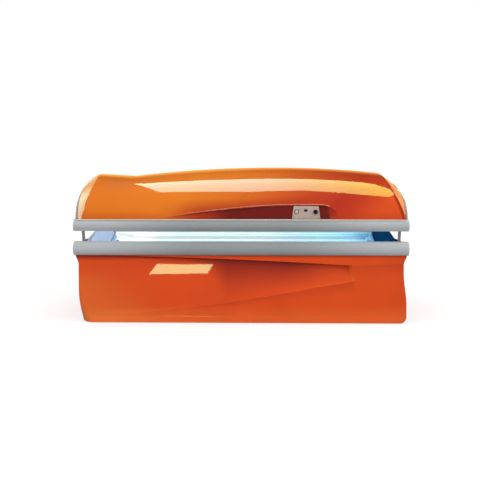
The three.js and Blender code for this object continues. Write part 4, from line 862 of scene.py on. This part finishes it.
def panel_face(z):
    up = share(z, PANEL_FOOT, 0.458)
    return -0.536 + 0.004 * (1 - up) - 0.0095 * share(z, 0.047, PANEL_FOOT)


def rolled(distance, width, depth):
    t = share(distance, width, 0)
    return depth * (1 - sqrt(1 - t * t))


def wedge_depth(x, z, closing):
    lip, crease = lip_below(x), crease_at(x)
    if z > lip + 1e-9:
        return 0.0
    across = share(z, crease, lip)
    along = share(x, WEDGE_LEFT, WEDGE_RIGHT) ** 0.8
    reveal = REVEAL * share(z, lip - 0.10, lip)
    return max(WEDGE_DEPTH * along * across * closing, reveal)


print("lip and crease at the middle:", round(lip_below(0), 3), round(crease_at(0), 3))

# %% [markdown]
# The panel's columns are closest where it curves most: round the hull at the left, at the wedge's slanted
# end, where they lean with it, and at the right edge. The first and last columns are a short return
# that closes on the end panels.

# %% Front panel
CLOSE_COLUMNS = 8
hull_columns = [-PANEL_END + 0.115 * t * t for t in evenly(0, 1, 22)]
left_columns = evenly(-PANEL_END + 0.115, WEDGE_RIGHT - 0.014, 150)[1:]
closing_columns = evenly(WEDGE_RIGHT - 0.014, WEDGE_RIGHT + 0.014, CLOSE_COLUMNS)[1:]
right_columns = evenly(WEDGE_RIGHT + 0.014, PANEL_END - 0.03, 26)[1:]
edge_columns = [PANEL_END - 0.03 * (1 - t) ** 2 for t in evenly(0, 1, 14)[1:]]
panel_columns = hull_columns + left_columns + closing_columns + right_columns + edge_columns
panel_columns = panel_columns[:1] + panel_columns + panel_columns[-1:]
RETURN = 0.005
LIP_UNDER, LIP_LEAN = 0.008, 0.035
panel_rows = [("foot", t) for t in evenly(0, 1, 10)] + [("low", t) for t in evenly(0, 1, 16)[1:]]
panel_rows += [("wedge", t) for t in evenly(0, 1, 30)[1:]] + [("under", t) for t in evenly(0, 1, 5)[1:]]
panel_rows += [("lip", t) for t in evenly(0, 1, 10)[1:]]
KICK_TOP, CREASE_STEP = 0.047, 0.003


def panel_point(column, row):
    zone, t = panel_rows[row]
    x = panel_columns[column]
    lip, crease = lip_below(x), max(crease_at(x), KICK_TOP + 0.004)
    spans = {"foot": (PANEL_FOOT, KICK_TOP), "low": (KICK_TOP, crease), "wedge": (crease, lip)}
    spans.update({"under": (lip, lip + LIP_UNDER), "lip": (lip + LIP_UNDER, PANEL_TOP - 0.0003)})
    z = mix(*spans[zone], t)
    closing = 1 - soft(x, WEDGE_RIGHT - 0.014, WEDGE_RIGHT + 0.014)
    depth = wedge_depth(x, min(z, lip), closing)
    if zone == "wedge":
        depth += CREASE_STEP * closing * soft(t, 0, 0.03) * (1 - t) * soft(x, WEDGE_LEFT, -0.7)
    hang = LIP_LEAN * (PANEL_TOP - z)
    if zone in ("under", "lip"):
        depth = mix(depth, hang, t) if zone == "under" else hang
    lean = WEDGE_SLANT * share(lip - z, 0, 0.11) * 0.11 * max(0, 1 - abs(x - WEDGE_RIGHT) / 0.22)
    pull = share(x, 0.790, PANEL_END)
    pull_left = share(x, 0.150 - PANEL_END, -PANEL_END)
    place = x + lean + (right_edge(z) - PANEL_END) * pull - lip_flare(z) * pull_left
    hull = hull_share(z)
    y = panel_face(z) + depth
    y += rolled(x + PANEL_END, 0.027 + 0.083 * hull, 0.027 + 0.203 * hull)
    y += rolled(right_edge(z) - place, 0.027, 0.027)
    y += RETURN if column in (0, len(panel_columns) - 1) else 0.0
    # Painted shade: darkest in the wedge just under its lip, and a painted shadow under the rail, deepest at the left
    # end; the low band gets a faint painted shade towards the crease.
    narrow = mix(12, 1, soft(x, -0.38, -0.08))
    dark = soft(x, -0.95, -0.20) * (1 - 0.75 * soft(x, 0.30, 0.70)) * share(z, mix(crease, lip, 0.10), lip) ** narrow
    dark = dark * (1 - t) if zone == "under" else dark if zone == "wedge" else 0.0
    if zone == "lip":
        dark = max(0.6 * soft(z, 0.436, PANEL_TOP), 0.85 * (1 - soft(x, -0.80, -0.45)))
    else:
        dark = max(dark, 0.85 * soft(z, 0.424, 0.441))
    if zone == "low":
        dark = 0.22 * soft(t, 0.6, 1) * closing * soft(x, -0.90, 0.20)
    # Values below zero are painted highlights: paler at the lower left and along the foot.
    dark -= 0.45 * (1 - soft(x + z, -0.95, -0.30)) * (1 - soft(z, 0.26, 0.40))
    dark -= 0.25 * (1 - soft(z, 0.055, 0.130))
    # More painted highlights, along the wedge's slanted closing edge and just above its crease.
    if zone == "wedge":
        dark -= 2.8 * closing * (1 - closing) * mix(0.4, 1, t)
        dark -= 0.3 * closing * (1 - soft(t, 0.02, 0.10)) * soft(x, 0.20, 0.70)
    return Vector((place, y, z)), dark


bm = formed_sheet(len(panel_columns) - 1, len(panel_rows) - 1, panel_point)
face_out(bm, (0, 3, 0.25))
front_panel = make_piece(bm, "bench_front_shell", "bench", ["bench_front_panel"], [bench_lacquer], 14)
give_wall(front_panel, SHELL_WALL)
print("front panel:", count(front_panel), "triangles")

# %% [markdown]
# ## Panels of the bench's ends and back
# These are flat plates, so a copy of the CAD part is enough: its loose triangles are merged, flat faces
# are joined, and every sharp edge gets a small round that catches the light. The end panels also get
# a shallow pressed field, an inset of their outer face pushed in by two millimetres, and the back panel
# is held by ten screws, each a low cone with a sunk drive.

# %% Eased copies of CAD parts
def eased_copy(node, width, segments=2, sharp=30):
    """A copy of a CAD part with its triangles merged and its sharp edges rounded."""
    bm = bmesh.new()
    bm.from_mesh(frame["nodes"][node].data)
    bmesh.ops.remove_doubles(bm, verts=bm.verts, dist=1e-5)
    bmesh.ops.dissolve_limit(bm, angle_limit=radians(0.5), verts=bm.verts, edges=bm.edges)
    if width:
        round_rims(bm, width, segments, sharp)
    return bm


for side, hand in ((-1, "left"), (1, "right")):
    bm = eased_copy(f"bench_end_panel_{hand}", 0)
    bmesh.ops.dissolve_limit(bm, angle_limit=radians(5), verts=bm.verts, edges=bm.edges)
    outer = max(bm.faces, key=lambda f: f.normal.x * side * f.calc_area())
    bmesh.ops.inset_region(bm, faces=[outer], thickness=0.035, depth=0)
    bmesh.ops.inset_region(bm, faces=[outer], thickness=0.006, depth=-0.002)
    bm.normal_update()
    edges = [e for e in bm.edges if e.is_manifold and e.calc_face_angle(0) > radians(50)]
    bmesh.ops.bevel(bm, geom=edges, offset=0.0015, affect="EDGES", segments=2, profile=0.5, material=-1, clamp_overlap=True)
    panel = make_piece(bm, f"bench_side_{hand}", "bench", [f"bench_end_panel_{hand}"], [bench_lacquer], 10)
    print(panel.name, count(panel), "triangles")

bm = eased_copy("bench_rear_panel", 0.001)
back_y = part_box("bench_rear_panel")[1].y
for x in evenly(-1.05, 1.05, 4):
    for z in (0.045, 0.525):
        turn = Matrix.Translation((x, back_y + 0.0003, z)) @ Matrix.Rotation(-pi / 2, 4, "X")
        head = bmesh.ops.create_cone(bm, cap_ends=True, segments=24, radius1=0.0065, radius2=0.005, depth=0.002, matrix=turn)["verts"]
        sides = {f for v in head for f in v.link_faces}
        for face in sides:
            face.material_index = 1
        top = max(sides, key=lambda f: f.calc_center_median().y)
        bmesh.ops.inset_region(bm, faces=[top], thickness=0.0022, depth=0)
        bmesh.ops.inset_region(bm, faces=[top], thickness=0.0003, depth=-0.0009)
back_panel = make_piece(bm, "bench_back", "bench", ["bench_rear_panel"], [grey_plastic, chrome], 20)
print(back_panel.name, count(back_panel), "triangles")

# %% [markdown]
# ## End trims of the lying surface
# At each end of the lying surface stands a moulded trim that crowns upwards. Its top and foot are two
# curves across the bed, so a small grid between them, given thickness, makes it.

# %% End trims
BOWL_RADIUS, BOWL_Z = 1.2641, 1.7191
TRIM_CROWN, TRIM_FOOT = 0.070, 0.030
TRIM_COLUMNS, TRIM_ROWS = 56, 6
for side, hand in ((-1, "left"), (1, "right")):
    low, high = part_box(f"bench_end_trim_{hand}")
    half = (high.y - low.y) / 2
    outer_x = low.x if side < 0 else high.x

    def trim_point(column, row):
        across = 2 * column / TRIM_COLUMNS - 1
        y = BED_MIDDLE + across * half
        foot = BOWL_Z - sqrt((BOWL_RADIUS + TRIM_FOOT) ** 2 - (y - BED_MIDDLE) ** 2)
        top = high.z - TRIM_CROWN * across * across
        return Vector((outer_x, y, mix(foot, top, row / TRIM_ROWS))), 0.0

    bm = formed_sheet(TRIM_COLUMNS, TRIM_ROWS, trim_point)
    face_out(bm, (0, 0, 0.5))
    trim = make_piece(bm, f"bed_end_trim_{hand}", "bench", [f"bench_end_trim_{hand}"], [tube_lit_trim])
    give_wall(trim, high.x - low.x, 0.004)
    print(trim.name, count(trim), "triangles")

# %% [markdown]
# ## Clear sheets and reflectors
# You lie on one clear acrylic sheet and look up at another; behind each is a bright curved reflector. A
# curved sheet is a straight line along X swung round the bed's axis, which is what spin does.

# %% Curved sheets
def swung_sheet(half_length, radius, middle, angle_from, angle_to, steps):
    """A sheet made by swinging a line along X round an axis along X; angles are from +Y upwards."""
    bm = bmesh.new()
    start = [bm.verts.new((x, middle.y + radius * cos(angle_from), middle.z + radius * sin(angle_from))) for x in (-half_length, half_length)]
    line = bm.edges.new(start)
    bmesh.ops.spin(bm, geom=[*start, line], cent=middle, axis=(1, 0, 0), angle=angle_to - angle_from, steps=steps)
    bmesh.ops.remove_doubles(bm, verts=bm.verts, dist=1e-6)
    return bm


SHEET_WALL = 0.008
bowl_middle = Vector((0, BED_MIDDLE, BOWL_Z))
tunnel_middle = Vector((0, BED_MIDDLE, TUNNEL_Z))
BOWL_ANGLE = radians(20.36)
bench_turn = (3 * pi / 2 - BOWL_ANGLE, 3 * pi / 2 + BOWL_ANGLE)
canopy_turn = (TUNNEL_ANGLE, pi - TUNNEL_ANGLE)
sheets = [("bench", "acrylic", bowl_middle, BOWL_RADIUS, bench_turn, (0, BED_MIDDLE, 0)),
          ("canopy", "acrylic", tunnel_middle, TUNNEL_RADIUS, canopy_turn, (0, BED_MIDDLE, 3))]
for half_name, kind, middle, radius, turn, behind in sheets:
    half_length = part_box(f"{half_name}_acrylic")[1].x
    bm = swung_sheet(half_length, radius, middle, *turn, 64)
    face_out(bm, middle)
    bmesh.ops.reverse_faces(bm, faces=bm.faces)
    sheet = make_piece(bm, f"{half_name}_clear_sheet", half_name, [f"{half_name}_acrylic"], [clear_acrylic])
    give_wall(sheet, SHEET_WALL)
    print(sheet.name, count(sheet), "triangles")

# %% [markdown]
# ## The bench's reflector
# The reflector under the bench's tubes is a bright sheet bent to the curve of the bed. Both long edges are
# folded out and up into the open side of the frame's beams, so that no light is lost past the outer
# tubes. A grid that follows this folded section along X gets the thin wall of the sheet.

# %% Reflector
REFLECTOR_WALL, REFLECTOR_BEHIND = 0.0012, 0.058
reflector_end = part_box("bench_reflector")[1].x
front_fold, rear_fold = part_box("bench_acrylic")[0].y + 0.004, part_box("bench_acrylic")[1].y - 0.004
FOLD_OUT, FOLD_TOP, FOLD_FOOT = 0.034, 0.5395, 0.478


def reflector_section(steps):
    """The folded section across the bed, as (y, z) points."""
    radius = BOWL_RADIUS + REFLECTOR_BEHIND
    curve = [(y, BOWL_Z - sqrt(radius ** 2 - (y - BED_MIDDLE) ** 2)) for y in evenly(front_fold, rear_fold, steps)]
    rear = [(rear_fold + FOLD_OUT, FOLD_FOOT), (rear_fold + FOLD_OUT + 0.004, FOLD_TOP)]
    front = [(front_fold - 0.020 - 0.003, FOLD_TOP), (front_fold - 0.020, FOLD_FOOT)]
    return front + curve + rear


section = reflector_section(48)
X_STEPS = 40
bm = formed_sheet(X_STEPS, len(section) - 1, lambda column, row: (Vector((mix(-reflector_end, reflector_end, column / X_STEPS), *section[row])), 0.0))
face_out(bm, bowl_middle)
bmesh.ops.reverse_faces(bm, faces=bm.faces)
reflector = make_piece(bm, "bench_mirror_sheet", "bench", ["bench_reflector"], [lit_reflector])
give_wall(reflector, REFLECTOR_WALL, 0.0004)
print(reflector.name, count(reflector), "triangles")

# %% [markdown]
# ## Lamp tubes
# Seven tubes lie in each half. A tube with its two metal ends is turned on a lathe: a few points give half
# of its outline, and a full spin makes it round. The end caps are picked out by their place along X
# and get metal instead of lit glass.

# %% Lathe and tubes
def lathe(bm, outline, axis_from, axis, steps):
    """Spin an outline of (distance along, radius) points round an axis into a closed turned form."""
    axis = Vector(axis).normalized()
    across = axis.orthogonal().normalized()
    verts = [bm.verts.new(Vector(axis_from) + axis * along + across * radius) for along, radius in outline]
    edges = [bm.edges.new(pair) for pair in zip(verts, verts[1:])]
    before = set(bm.faces)
    bmesh.ops.spin(bm, geom=verts + edges, cent=axis_from, axis=axis, angle=2 * pi, steps=steps, use_merge=True)
    faces = [f for f in bm.faces if f not in before]
    made = list({v for f in faces for v in f.verts})
    bmesh.ops.remove_doubles(bm, verts=made, dist=1e-6)
    made = [f for f in bm.faces if f not in before]
    bmesh.ops.recalc_face_normals(bm, faces=made)
    return made


TUBE_CAP, TUBE_CAP_RADIUS, TUBE_NECK = 0.026, 0.015, 0.010
for half_name in ("bench", "canopy"):
    for number in range(1, 8):
        low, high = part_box(f"{half_name}_lamp_{number}")
        radius, length = (high.z - low.z) / 2, high.x - low.x
        glass_from = TUBE_CAP
        outline = [(0, 0), (0, TUBE_CAP_RADIUS - 0.002), (0.002, TUBE_CAP_RADIUS), (glass_from - 0.001, TUBE_CAP_RADIUS)]
        outline += [(glass_from, TUBE_CAP_RADIUS + 0.001), (glass_from + 0.003, radius - 0.001), (glass_from + TUBE_NECK, radius)]
        outline += [(length - along, r) for along, r in reversed(outline)]
        bm = bmesh.new()
        start = (low.x, (low.y + high.y) / 2, (low.z + high.z) / 2)
        for face in lathe(bm, outline, start, (1, 0, 0), 28):
            face.material_index = 1 if abs(face.calc_center_median().x) > high.x - glass_from else 0
        tube = make_piece(bm, f"{half_name}_tube_{number}", half_name, [f"{half_name}_lamp_{number}"], [lit_glass, bright_sheet])
    print(half_name, "tubes:", number, "of", count(tube), "triangles each")

# %% [markdown]
# ## The control plate
# The silver plate stands in the scoop with three things on it: a start button, a small dark window and a
# speed knob. The plate, the window and the knob's grip are eased copies; the button is turned with a
# domed face, whose outer part takes the dark lens finish as a thin dark ring.

# %% Control plate, button, window and knob
plate = make_piece(eased_copy("control_panel", 0.003, 3), "control_plate", "canopy", ["control_panel"], [panel_silver])
plate_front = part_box("control_panel")[0].y

low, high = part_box("start_button")
button_at = ((low.x + high.x) / 2, high.y, (low.z + high.z) / 2)
radius, tall = (high.x - low.x) / 2, high.y - low.y
DOME_RISE, RIM_FROM = 0.006, 0.75
outline = [(0, 0), (0, radius)]
outline += [(tall - DOME_RISE * (1 - sin(a)), radius * cos(a)) for a in evenly(0.15, pi / 2, 8)]
bm = bmesh.new()
for face in lathe(bm, outline, button_at, (0, -1, 0), 40):
    out = (face.calc_center_median() - Vector(button_at)) * Vector((1, 0, 1))
    face.material_index = 1 if out.length > RIM_FROM * radius else 0
button = make_piece(bm, "start_button_dome", "button", ["start_button"], [silvered_plastic, dark_lens])

low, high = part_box("display_window")
bm = eased_copy("display_window", 0.0006, 2)
window = make_piece(bm, "display_lens", "canopy", ["display_window"], [dark_lens])

knob_grip = make_piece(eased_copy("fan_knob", 0.0012, 3), "speed_knob", "knob", ["fan_knob"], [black_plastic])
print("controls:", plate.name, button.name, window.name, knob_grip.name)

# %% [markdown]
# ## Gas struts
# A gas strut is a painted cylinder with a chrome rod and an eye at each end. Both are eased copies of
# their CAD parts, with rounded rims.

# %% Struts
TUBE_R, NECK_R, NECK_LONG, TUBE_SHORT = 0.011, 0.007, 0.038, 0.040
for hand in ("left", "right"):
    tube_low, tube_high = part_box(f"strut_tube_{hand}")
    print(hand, "strut:", [round(c, 3) for c in tube_low], [round(c, 3) for c in tube_high])
for hand in ("left", "right"):
    tube = make_piece(eased_copy(f"strut_tube_{hand}", 0.001, 2), f"strut_cylinder_{hand}", f"{hand}_strut_tube", [f"strut_tube_{hand}"], [strut_enamel])
    rod = make_piece(eased_copy(f"strut_rod_{hand}", 0.0006, 2), f"strut_piston_{hand}", f"{hand}_strut_rod", [f"strut_rod_{hand}"], [chrome])
    print(tube.name, count(tube), rod.name, count(rod), "triangles")

# %% [markdown]
# ## Feet, pins and the mains inlet
# The small parts underneath and behind are simple forms whose CAD shape is right. Rounded edges and a
# proper finish are what they lack, so they are eased copies as well.

# %% Small parts
small = [(f"foot_{end}_{hand}", "bench", foot_rubber, "foot_rubber", 0.002) for end in ("front", "rear") for hand in ("left", "right")]
small += [(f"hinge_pin_{hand}", "bench", chrome, "chrome", 0.001) for hand in ("left", "right")]
small += [("mains_inlet", "bench", black_plastic, "black_plastic", 0.0012)]
for node, body, finish, slot, width in small:
    piece = make_piece(eased_copy(node, width), f"{node}_eased", frame["nodes"][node]["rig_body"], [node], [finish])
print("small parts:", len(small))

# %% [markdown]
# ## The canopy's frame
# Under the shell the frame ends in two arches, and the bevelled ends of the shell come close to them. The
# copy of the frame is drawn in there: a point that lies nearer to the outside than the shell's inner face
# moves towards the middle of the arch until it is clear.

# %% Canopy frame
FRAME_CLEAR, FRAME_END = 0.003, 1.03
bm = eased_copy("canopy_frame", 0)
drawn = 0
for v in bm.verts:
    across, up, high = abs(v.co.y - ARCH_MIDDLE), v.co.z - arch_foot, crest_at(v.co.x) - arch_foot
    if abs(v.co.x) < 0.9 or up < 0.07:
        continue
    power = 2 / ARCH_ROUND
    level = ((across / arch_half) ** power + (up / high) ** power) ** (1 / power)
    angle = atan2((up / high) ** (power / 2), (across / arch_half) ** (power / 2))
    clear = bevel_drop(copysign(FRAME_END, v.co.x), angle) + SHELL_WALL + FRAME_CLEAR
    most = 1 - clear / min(arch_half, high)
    if level > most:
        v.co.y = ARCH_MIDDLE + (v.co.y - ARCH_MIDDLE) * most / level
        v.co.z = arch_foot + up * most / level
        drawn += 1
canopy_frame = make_piece(bm, "canopy_frame_drawn_in", "canopy", ["canopy_frame"], [powder_steel])
print(canopy_frame.name, drawn, "points drawn in,", count(canopy_frame), "triangles")

# %% [markdown]
# ## Parts that keep their CAD shape
# What lies inside, such as frames, reflectors, lampholders and the fan, is already the right shape. A
# CAD part only needs its finish, so its material slots are filled and its mesh is left alone.

# %% Finishes for the inside
inside = {"frame_steel": powder_steel, "reflector": bright_sheet, "grey_plastic": grey_plastic, "black_plastic": black_plastic}
kept = [("base_frame", powder_steel), ("ballast_box", powder_steel)]
kept += [("canopy_reflector", lit_reflector)]
kept += [(f"{h}_lampholder_{s}", lampholder_glow_plastic) for h in ("bench", "canopy") for s in ("left", "right")]
kept += [("fan_housing", black_plastic), ("fan_rotor", black_plastic)]
for node, finish in kept:
    mesh = frame["nodes"][node].data
    mesh.materials.clear()
    mesh.materials.append(finish)
print("CAD parts kept as they are:", len(kept))

# %% [markdown]
# ## Floor and studio
# The bed stands on a pale floor in a plain white studio. The floor is a matt sheet that keeps the bed's
# shadow. The white that the camera sees of it, and through the clear sheets, is brought up by Light
# Path, so that a white surround puts no more light on the bed.

# %% Floor
def seen_rays(tree):
    """1 for rays that come from the camera, straight or through a clear sheet."""
    path = add(tree, "LightPath")
    pair = {0: path.outputs["Is Camera Ray"], 1: path.outputs["Is Transmission Ray"]}
    return add(tree, "Math", pair, operation="MAXIMUM").outputs[0], path.outputs["Is Glossy Ray"]


def on_stage(bm, name, finish):
    mesh = bpy.data.meshes.new(name)
    bm.to_mesh(mesh)
    bm.free()
    mesh.materials.append(finish)
    thing = bpy.data.objects.new(name, mesh)
    bpy.context.scene.collection.objects.link(thing)
    return thing


SURROUND = 0.11


def floor_finish():
    finish, tree, shader = new_finish("pale_floor")
    mottle = between(tree, grain(tree, 1.5), 0.3, 0.7)
    tree.links.new(colour_mix(tree, mottle, (0.49, 0.49, 0.49), (0.51, 0.51, 0.51)), shader.inputs["Base Color"])
    shader.inputs["Roughness"].default_value = 0.9
    shader.inputs["Specular IOR Level"].default_value = 0.0
    seen, mirrored = seen_rays(tree)
    tree.links.new(times(tree, seen, 0.56), shader.inputs["Emission Strength"])
    shader.inputs["Emission Color"].default_value = (1, 1, 1, 1)
    dim = add(tree, "Emission", {"Strength": SURROUND})
    both = add(tree, "MixShader", {0: mirrored, 1: shader.outputs[0], 2: dim.outputs[0]})
    tree.links.new(both.outputs[0], tree.nodes["Material Output"].inputs["Surface"])
    return finish


bm = bmesh.new()
bmesh.ops.create_grid(bm, x_segments=8, y_segments=8, size=30)
floor = on_stage(bm, "studio_floor", floor_finish())
print("floor:", len(floor.data.polygons), "faces")

# %% [markdown]
# ## Light
# One long softbox hangs above the bed: its mirror image in the coat is the pale band along the hump, and
# its left end is cut at a slant, as the band is. A card at each side lights the bevelled ends, and a
# low card in front is the slanted patch on the bench. Each is a glowing sheet that mirrors see
# brighter than the matt lacquer does. The world around is a soft even fill.

# %% Cards and world
def glow_finish(name, mirror, fill, tints, limits, axis="X"):
    """A card's glow: mirrors see two tints at two strengths along an axis, matt surfaces a plain fill."""
    finish, tree, shader = new_finish(name)
    tree.nodes.remove(shader)
    place = add(tree, "SeparateXYZ", {0: add(tree, "TexCoord").outputs["Object"]})
    along = between(tree, place.outputs[axis], *limits)
    mirrored = add(tree, "LightPath").outputs["Is Glossy Ray"]
    tint = colour_mix(tree, mirrored, (1, 1, 1), colour_mix(tree, along, *tints))
    bright = between(tree, along, 0.0, 1.0, *mirror, "LINEAR")
    strength = add(tree, "Mix", {0: mirrored, 2: fill, 3: bright}, data_type="FLOAT").outputs[0]
    glow = add(tree, "Emission", {"Color": tint, "Strength": strength})
    tree.links.new(glow.outputs[0], tree.nodes["Material Output"].inputs["Surface"])
    return finish


def card(name, corners, finish):
    bm = bmesh.new()
    bm.faces.new([bm.verts.new(corner) for corner in corners])
    sheet = on_stage(bm, name, finish)
    sheet.visible_camera = False
    sheet.visible_shadow = False
    return sheet


OVERHEAD_Z = 3.0
overhead = [(-1.42, 1.62), (-1.25, 1.32), (-0.70, 0.97), (-0.22, 0.77), (0.90, 0.79), (1.315, 0.80), (1.44, 0.67), (1.50, 0.40), (1.59, 0.16)]
overhead += [(1.60, -0.45), (1.52, -0.90), (1.27, -0.90), (0.60, -0.72), (0.02, -0.90), (-0.60, -0.62), (-0.95, -0.37), (-1.20, 0.74)]
overhead_glow = glow_finish("overhead_glow", (5.2, 5.2), 1.2, ((0.55, 1.0, 0.85), (0.95, 1.0, 0.20)), (-0.2, 1.5))
card("overhead_softbox", [(x, y, OVERHEAD_Z) for x, y in overhead], overhead_glow)
left_glow = glow_finish("left_glow", (4.6, 1.0), 0.3, ((0.50, 1.0, 0.80), (1.0, 0.80, 0.45)), (0.3, 3.0), "Y")
right_glow = glow_finish("right_glow", (2.3, 1.1), 0.3, ((0.95, 1.0, 0.38), (1.0, 0.75, 0.30)), (0.3, 3.0), "Y")
card("left_card", [(-3, y, z) for y, z in ((-1.0, 0.9), (7.0, 0.9), (7.0, 3.4), (-1.0, 3.4))], left_glow)
card("right_card", [(3, y, z) for y, z in ((-0.2, 1.3), (7.0, 1.3), (7.0, 3.6), (-0.2, 3.6))], right_glow)
patch = [(-0.771, 0.233), (-0.491, 0.316), (-0.213, 0.420), (-0.308, 0.304), (-0.592, 0.199), (-0.875, 0.108)]
patch_glow = glow_finish("patch_glow", (7.4, 7.4), 0.0, ((0.78, 1.0, 0.48), (0.78, 1.0, 0.48)), (-1, 1))
card("patch_card", [(x, -3.0, z) for x, z in patch], patch_glow).visible_diffuse = False
flag_dark = glow_finish("flag_dark", (SURROUND, SURROUND), 0.0, ((1, 1, 1), (1, 1, 1)), (-1, 1))
flag = card("left_flag", [(x, y, 1.06) for x, y in ((-0.975, -0.40), (-0.795, -0.40), (-0.795, -0.17), (-0.975, -0.17))], flag_dark)
flag.visible_diffuse = False
flag.visible_transmission = False

world = bpy.data.worlds.new("studio")
bpy.context.scene.world = world
world.use_nodes = True
tree = world.node_tree
seen, mirrored = seen_rays(tree)
FILL, FRONT_FILL, BACKDROP = 0.95, 1.42, 1.25
way = add(tree, "SeparateXYZ", {0: add(tree, "TexCoord").outputs["Generated"]})
fill = between(tree, way.outputs["Y"], -0.5, 0.4, FRONT_FILL, FILL)
low_down = between(tree, way.outputs["Z"], 0.20, 0.50, 1.0, 0.0)
behind = times(tree, between(tree, way.outputs["Y"], 0.3, 0.8), low_down)
surround = between(tree, behind, 0.0, 1.0, SURROUND, BACKDROP, "LINEAR")
strength = add(tree, "Mix", {0: mirrored, 2: fill, 3: surround}, data_type="FLOAT").outputs[0]
strength = add(tree, "Mix", {0: seen, 2: strength, 3: 1.0}, data_type="FLOAT").outputs[0]
tree.links.new(strength, tree.nodes["Background"].inputs["Strength"])
warm = times(tree, between(tree, way.outputs["Y"], 0.2, 0.6), mirrored)
tree.links.new(colour_mix(tree, warm, (1, 1, 1), (1.0, 0.42, 0.08)), tree.nodes["Background"].inputs["Color"])
print("studio: fill", FILL, "from the front", FRONT_FILL)

# %% [markdown]
# ## Camera
# The photograph was taken almost square on, from a little above the rails, with a longish lens. The camera
# is level with the canopy's crest and looks a touch down and to the left.

# %% Camera
CAMERA_DOWN, CAMERA_TURN = radians(2.236), radians(1.246)
camera_data = bpy.data.cameras.new("photo_camera")
camera_data.lens = 56.35
camera_data.sensor_width = 36
camera_data.shift_y = -0.075
camera = bpy.data.objects.new("photo_camera", camera_data)
bpy.context.scene.collection.objects.link(camera)
camera.location = (0.1065, -5.56, 0.9994)
camera.rotation_euler = (pi / 2 - CAMERA_DOWN, 0, CAMERA_TURN)
bpy.context.scene.camera = camera
bpy.context.scene.view_settings.view_transform = "Standard"
print("camera:", [round(c, 3) for c in camera.location])
